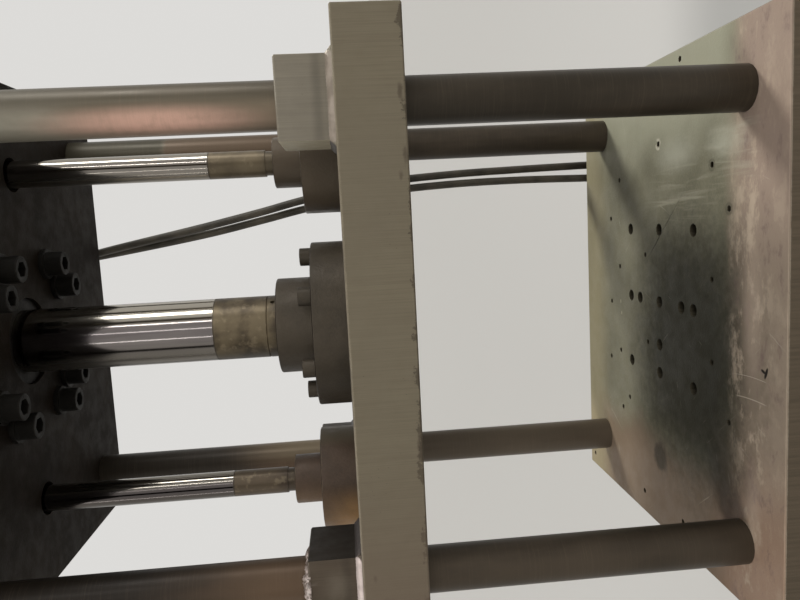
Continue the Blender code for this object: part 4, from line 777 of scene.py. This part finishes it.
def make_smoothing():
    """Joins a mesh's split corners and marks its sharp edges, so that round faces shade smoothly."""
    group = bpy.data.node_groups.new("smoothing", "GeometryNodeTree")
    group.interface.new_socket("Geometry", in_out="INPUT", socket_type="NodeSocketGeometry")
    group.interface.new_socket("Geometry", in_out="OUTPUT", socket_type="NodeSocketGeometry")
    nodes, links = group.nodes, group.links
    start = nodes.new("NodeGroupInput")
    plain = nodes.new("GeometryNodeRemoveAttribute")
    plain.inputs["Name"].default_value = "custom_normal"
    joined = nodes.new("GeometryNodeMergeByDistance")
    joined.inputs["Distance"].default_value = SPLIT_CORNER_GAP
    angle = nodes.new("GeometryNodeInputMeshEdgeAngle")
    sharp = nodes.new("FunctionNodeCompare")
    sharp.operation = "GREATER_THAN"
    sharp.inputs[1].default_value = math.radians(SHARP_DEGREES)
    faces = nodes.new("GeometryNodeSetShadeSmooth")
    edges = nodes.new("GeometryNodeSetShadeSmooth")
    edges.domain = "EDGE"
    edges.inputs["Shade Smooth"].default_value = False
    chain = [start, plain, joined, faces, edges, nodes.new("NodeGroupOutput")]
    for node, following in zip(chain, chain[1:]):
        links.new(node.outputs[0], following.inputs[0])
    links.new(angle.outputs["Unsigned Angle"], sharp.inputs[0])
    links.new(sharp.outputs[0], edges.inputs["Selection"])
    return group


def smooth_solids(frame):
    group = make_smoothing()
    for name, node in frame["nodes"].items():
        smoothing = node.modifiers.new("smoothing", "NODES")
        smoothing.node_group = group
        if name.startswith(ROUNDED):
            bevel = node.modifiers.new("edges", "BEVEL")
            bevel.limit_method = "ANGLE"
            bevel.angle_limit = math.radians(SHARP_DEGREES)
            bevel.width = EDGE_ROUNDING
            bevel.segments = 2
            bevel.harden_normals = True


# ---- making pieces


def add_object(name, data):
    piece = bpy.data.objects.new(name, data)
    bpy.context.scene.collection.objects.link(piece)
    return piece


def join_rows(mesh, row, following):
    """Faces between two rows of corners, each closed on itself."""
    count = len(row)
    for k in range(count):
        mesh.faces.new((row[k], row[(k + 1) % count], following[(k + 1) % count], following[k]))


def add_mesh(name, mesh, material):
    bmesh.ops.recalc_face_normals(mesh, faces=mesh.faces)
    data = bpy.data.meshes.new(name)
    mesh.to_mesh(data)
    mesh.free()
    data.materials.append(material)
    return add_object(name, data)


def sweep(name, rings, material, body):
    """A closed band of faces through rings of points, the last joined to the first."""
    mesh = bmesh.new()
    rows = [[mesh.verts.new(point) for point in ring] for ring in rings]
    for row, following in zip(rows, rows[1:] + rows[:1]):
        join_rows(mesh, row, following)
    for face in mesh.faces:
        face.smooth = True
    piece = add_mesh(name, mesh, material)
    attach(piece, body)


# ---- weld beads and grease


def make_bead(corner, material):
    """The face of the fillet weld round a guide block's foot, with the ripples of its passes."""
    low, high = (Vector(end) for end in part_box(f"guide_block_{corner}"))
    x0, y0, x1, y1 = low.x + WELD_LEG, low.y + WELD_LEG, high.x - WELD_LEG, high.y - WELD_LEG
    leg = WELD_LEG + WELD_STAND_OFF
    outline = [(x0, y0), (x1, y0), (x1, y1), (x0, y1)]
    points, normals = [], []
    for (x0, y0), (x1, y1) in zip(outline, outline[1:] + outline[:1]):
        length = math.hypot(x1 - x0, y1 - y0)
        normal = Vector(((y1 - y0) / length, (x0 - x1) / length))
        count = max(3, round(length / WELD_STEP))
        for i in range(count):
            share = i / count
            points.append(Vector((x0 + (x1 - x0) * share, y0 + (y1 - y0) * share)))
            normals.append(normal)
    rings = []
    for i, point in enumerate(points):
        near = (normals[(i + k) % len(normals)] for k in range(-WELD_TURN_STEPS, WELD_TURN_STEPS + 1))
        normal = sum(near, Vector((0.0, 0.0))).normalized()
        ripple = 1.0 + 0.025 * math.sin(i * 1.9) + 0.07 * mathutils.noise.noise(Vector((i * 0.06, leg, 0.0)))
        ring = []
        for out, up in WELD_PROFILE:
            reach = leg * out * (ripple if out > 0.1 else 1.0)
            ring.append((point.x + normal.x * reach, point.y + normal.y * reach,
                         PLATEN_TOP + leg * up * (ripple if up > 0.2 else 1.0)))
        rings.append(ring)
    sweep(f"weld_{corner}", rings, material, "platen")


def make_grease(name, low, high, top, material):
    """Grease pushed up round the column in that box, on its bush's top, heaped at the front."""
    centre = ((low[0] + high[0]) / 2, (low[1] + high[1]) / 2)
    inner = (high[0] - low[0]) / 2 + GREASE_STAND_OFF
    rings = []
    for i in range(GREASE_STEPS):
        angle = math.tau * i / GREASE_STEPS
        lump = mathutils.noise.noise(Vector((math.cos(angle) * 3.5, math.sin(angle) * 3.5, 0.4)))
        small = mathutils.noise.noise(Vector((math.cos(angle) * 14.0, math.sin(angle) * 14.0, 1.1)))
        front = 0.5 - 0.5 * math.sin(angle)
        heap = max(0.3, (0.35 + 0.65 * front) * (1.0 + 0.7 * lump + 0.35 * small))
        ring = []
        for out, up in GREASE_PROFILE:
            radius = inner + GREASE_SPREAD * out * heap
            ring.append((centre[0] + radius * math.cos(angle), centre[1] + radius * math.sin(angle),
                         top + GREASE_HEIGHT * up * heap))
        rings.append(ring)
    sweep(name, rings, material, "platen")


# ---- hoses


def smooth_route(points, spacing):
    """A smooth curve through the points, read off at even steps of about that spacing."""
    knots = [points[0] * 2 - points[1], *points, points[-1] * 2 - points[-2]]
    fine = [points[0]]
    steps = 24
    for i in range(1, len(knots) - 2):
        a, b, c, d = knots[i - 1:i + 3]
        for k in range(1, steps + 1):
            t = k / steps
            fine.append((b * 2 + (c - a) * t + (a * 2 - b * 5 + c * 4 - d) * t ** 2
                         + (b * 3 - a - c * 3 + d) * t ** 3) / 2)
    lengths = [0.0]
    for before, after in zip(fine, fine[1:]):
        lengths.append(lengths[-1] + (after - before).length)
    count = max(2, round(lengths[-1] / spacing))
    even = []
    k = 0
    for i in range(count + 1):
        wanted = lengths[-1] * i / count
        while k < len(fine) - 2 and lengths[k + 1] < wanted:
            k += 1
        share = (wanted - lengths[k]) / (lengths[k + 1] - lengths[k])
        even.append(fine[k].lerp(fine[k + 1], share))
    return even


def coil_point(coil, turned_by):
    """The hose's middle and its heading, this many turns after it enters its coil at the top."""
    angle = math.radians(coil["start_degrees"]) - math.tau * turned_by
    height = HOSE_RADIUS + HOSE_DIAMETER * (coil["turns"] - turned_by)
    x, y = coil["centre"]
    point = Vector((x + COIL_RADIUS * math.cos(angle), y + COIL_RADIUS * math.sin(angle), height))
    return point, Vector((math.sin(angle), -math.cos(angle), 0.0))


def clear_of_coil(half_width):
    outside = COIL_RADIUS + HOSE_RADIUS + SEAT_GAP
    return math.sqrt(outside ** 2 - (COIL_RADIUS - half_width) ** 2)


def make_hose(word, leave, route, coil, materials):
    """The whole hose on one smooth line: down the back of the press, round its coil, to its fitting."""
    entry, heading = coil_point(coil, 0.0)
    stop = entry - heading * clear_of_coil(HOSE_RADIUS)
    stop.z = HOSE_DIAMETER * (coil["turns"] + 0.5) - HOSE_RADIUS / 2
    knots = [leave, leave + Vector((0.0, HOSE_LEAD / 2, 0.0)), leave + Vector((0.0, HOSE_LEAD, 0.0))]
    knots += [Vector(point) for point in route]
    knots += [stop - heading * HOSE_RUN_IN + Vector((0.0, 0.0, HOSE_RADIUS / 2)), stop]
    count = round(coil["turns"] * KNOTS_PER_TURN)
    knots += [coil_point(coil, coil["turns"] * i / count)[0] for i in range(count + 1)]
    last, heading = coil_point(coil, coil["turns"])
    end = last + heading * clear_of_coil(FERRULE_RADIUS)
    end.z = HOSE_RADIUS + TAIL_LIFT
    knots += [last.lerp(end, 0.5) + Vector((0.0, 0.0, TAIL_LIFT / 4)), end]
    line = smooth_route(knots, ROUTE_SPACING)
    curve = bpy.data.curves.new(f"{word}_hose_line", "CURVE")
    curve.dimensions = "3D"
    curve.bevel_depth = HOSE_RADIUS
    curve.bevel_resolution = 6
    curve.use_fill_caps = True
    spline = curve.splines.new("POLY")
    spline.points.add(len(line) - 1)
    for knot, place in zip(spline.points, line):
        knot.co = (*place, 1.0)
    spline.use_smooth = True
    curve.materials.append(materials["hose_rubber"])
    hose = add_object(f"{word}_hose_line", curve)
    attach(hose, "frame")
    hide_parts(f"{word}_hose", f"{word}_hose_coil")
    tie = make_tie(word, coil, materials["tie"])


def make_tie(word, coil, material):
    """A flat strap over the stacked turns of a coil, down to the floor on both sides."""
    around = math.radians(coil["start_degrees"]) - math.tau * TIE_TURNS
    outward = Vector((math.cos(around), math.sin(around), 0.0))
    along = Vector((-math.sin(around), math.cos(around), 0.0))
    middle = Vector((*coil["centre"], 0.0)) + outward * COIL_RADIUS
    crest = HOSE_RADIUS + HOSE_DIAMETER * (coil["turns"] - TIE_TURNS)
    reach = HOSE_RADIUS + SEAT_GAP
    path = [(reach, TIE_FLOOR_GAP + crest * k / 6) for k in range(6)]
    for k in range(15):
        angle = math.pi * k / 14
        path.append((reach * math.cos(angle), crest + reach * math.sin(angle)))
    path += [(-reach, crest * (1.0 - k / 6) + TIE_FLOOR_GAP) for k in range(1, 7)]
    mesh = bmesh.new()
    rows = []
    for i, (out, up) in enumerate(path):
        ahead, before = path[min(i + 1, len(path) - 1)], path[max(i - 1, 0)]
        step = Vector((ahead[0] - before[0], ahead[1] - before[1])).normalized()
        row = []
        for side, lift in ((-1, 0.0), (1, 0.0), (1, 1.0), (-1, 1.0)):
            point = middle + outward * (out + step.y * TIE_THICKNESS * lift) + along * (side * TIE_WIDTH / 2)
            point.z = up - step.x * TIE_THICKNESS * lift
            row.append(mesh.verts.new(point))
        rows.append(row)
    for row, following in zip(rows, rows[1:]):
        join_rows(mesh, row, following)
    mesh.faces.new(rows[0])
    mesh.faces.new(rows[-1])
    tie = add_mesh(f"{word}_hose_tie", mesh, material)
    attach(tie, "frame")
    return tie


# ---- setting


def make_floor():
    bpy.ops.mesh.primitive_plane_add(size=FLOOR_SIZE)
    floor = bpy.context.active_object
    floor.name = "floor"
    material = bpy.data.materials.new("floor")
    material.use_nodes = True
    shader = material.node_tree.nodes["Principled BSDF"]
    shader.inputs["Base Color"].default_value = (*FLOOR_COLOUR, 1.0)
    shader.inputs["Roughness"].default_value = 0.9
    shader.inputs["Specular IOR Level"].default_value = 0.1
    floor.data.materials.append(material)


def direction(azimuth, elevation):
    """Unit vector towards a lamp: azimuth in degrees from the front, positive to the press's right."""
    turn, tilt = math.radians(azimuth), math.radians(elevation)
    return Vector((math.sin(turn) * math.cos(tilt), -math.cos(turn) * math.cos(tilt), math.sin(tilt)))


def add_lamp(name, data, place, towards):
    lamp = add_object(name, data)
    lamp.location = place
    lamp.rotation_euler = (-towards).to_track_quat("-Z", "Y").to_euler()
    return lamp


def make_sun(name, azimuth, elevation, strength, spread, colour):
    data = bpy.data.lights.new(name, "SUN")
    data.energy = strength
    data.angle = math.radians(spread)
    data.color = colour
    towards = direction(azimuth, elevation)
    return add_lamp(name, data, towards * SUN_DISTANCE, towards)


def make_strip(name, azimuth, width, radiance):
    """A narrow upright lamp, which the plated rods mirror as a bright line."""
    data = bpy.data.lights.new(name, "AREA")
    data.shape = "RECTANGLE"
    data.size, data.size_y = width, STRIP_LENGTH
    data.energy = radiance * math.pi * width * STRIP_LENGTH
    towards = direction(azimuth, 0.0)
    add_lamp(name, data, towards * STRIP_DISTANCE + Vector((0.0, 0.0, STRIP_HEIGHT)), towards)


def make_world():
    """A dim white world, which the camera and mirrors see as a plain pale background."""
    world = bpy.data.worlds.new("studio")
    bpy.context.scene.world = world
    world.use_nodes = True
    nodes, links = world.node_tree.nodes, world.node_tree.links
    light = nodes["Background"]
    light.inputs["Color"].default_value = (*WORLD_LIGHT, 1.0)
    light.inputs["Strength"].default_value = WORLD_STRENGTH
    shown = nodes.new("ShaderNodeBackground")
    shown.inputs["Color"].default_value = (*WORLD_SHOWN, 1.0)
    path = nodes.new("ShaderNodeLightPath")
    seen = path.outputs["Is Camera Ray"]
    for ray in ("Is Glossy Ray", "Is Transmission Ray"):
        either = nodes.new("ShaderNodeMath")
        either.operation = "MAXIMUM"
        links.new(seen, either.inputs[0])
        links.new(path.outputs[ray], either.inputs[1])
        seen = either.outputs[0]
    mix = nodes.new("ShaderNodeMixShader")
    links.new(seen, mix.inputs["Fac"])
    links.new(light.outputs[0], mix.inputs[1])
    links.new(shown.outputs[0], mix.inputs[2])
    links.new(mix.outputs[0], nodes["World Output"].inputs["Surface"])


def make_lamps():
    make_sun("key", *KEY_SUN)
    make_sun("second", *SECOND_SUN)
    fill = make_sun("fill", *FILL_SUN)
    fill.visible_glossy = False
    for azimuth, width, radiance in STREAKS:
        make_strip(f"strip_{round(azimuth)}", azimuth, width, radiance)


def make_camera():
    data = bpy.data.cameras.new("photo_camera")
    data.lens = CAMERA_LENS
    data.sensor_width = CAMERA_SENSOR
    data.sensor_fit = "HORIZONTAL"
    camera = add_object("photo_camera", data)
    back = CAMERA_RIGHT.cross(CAMERA_UP)
    turn = Matrix((CAMERA_RIGHT, CAMERA_UP, back)).transposed()
    camera.matrix_world = Matrix.Translation(CAMERA_PLACE) @ turn.to_4x4()
    bpy.context.scene.camera = camera
    bpy.context.scene.view_settings.view_transform = "Standard"


def main():
    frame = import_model()
    materials = make_materials()
    make_camera()
    make_hose("pressing", PRESSING_EXIT, PRESSING_ROUTE, PRESSING_COIL, materials)
    make_hose("return", RETURN_EXIT, RETURN_ROUTE, RETURN_COIL, materials)
    dress(frame, materials)
    smooth_solids(frame)
    for corner, look in WELD_LOOKS.items():
        make_bead(corner, materials[look])
    low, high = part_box("column_front_left")
    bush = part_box("guide_bush_front_left")
    make_grease("grease_front_left", low, high, bush[1][2], materials["grease"])
    make_floor()
    make_world()
    make_lamps()


main()
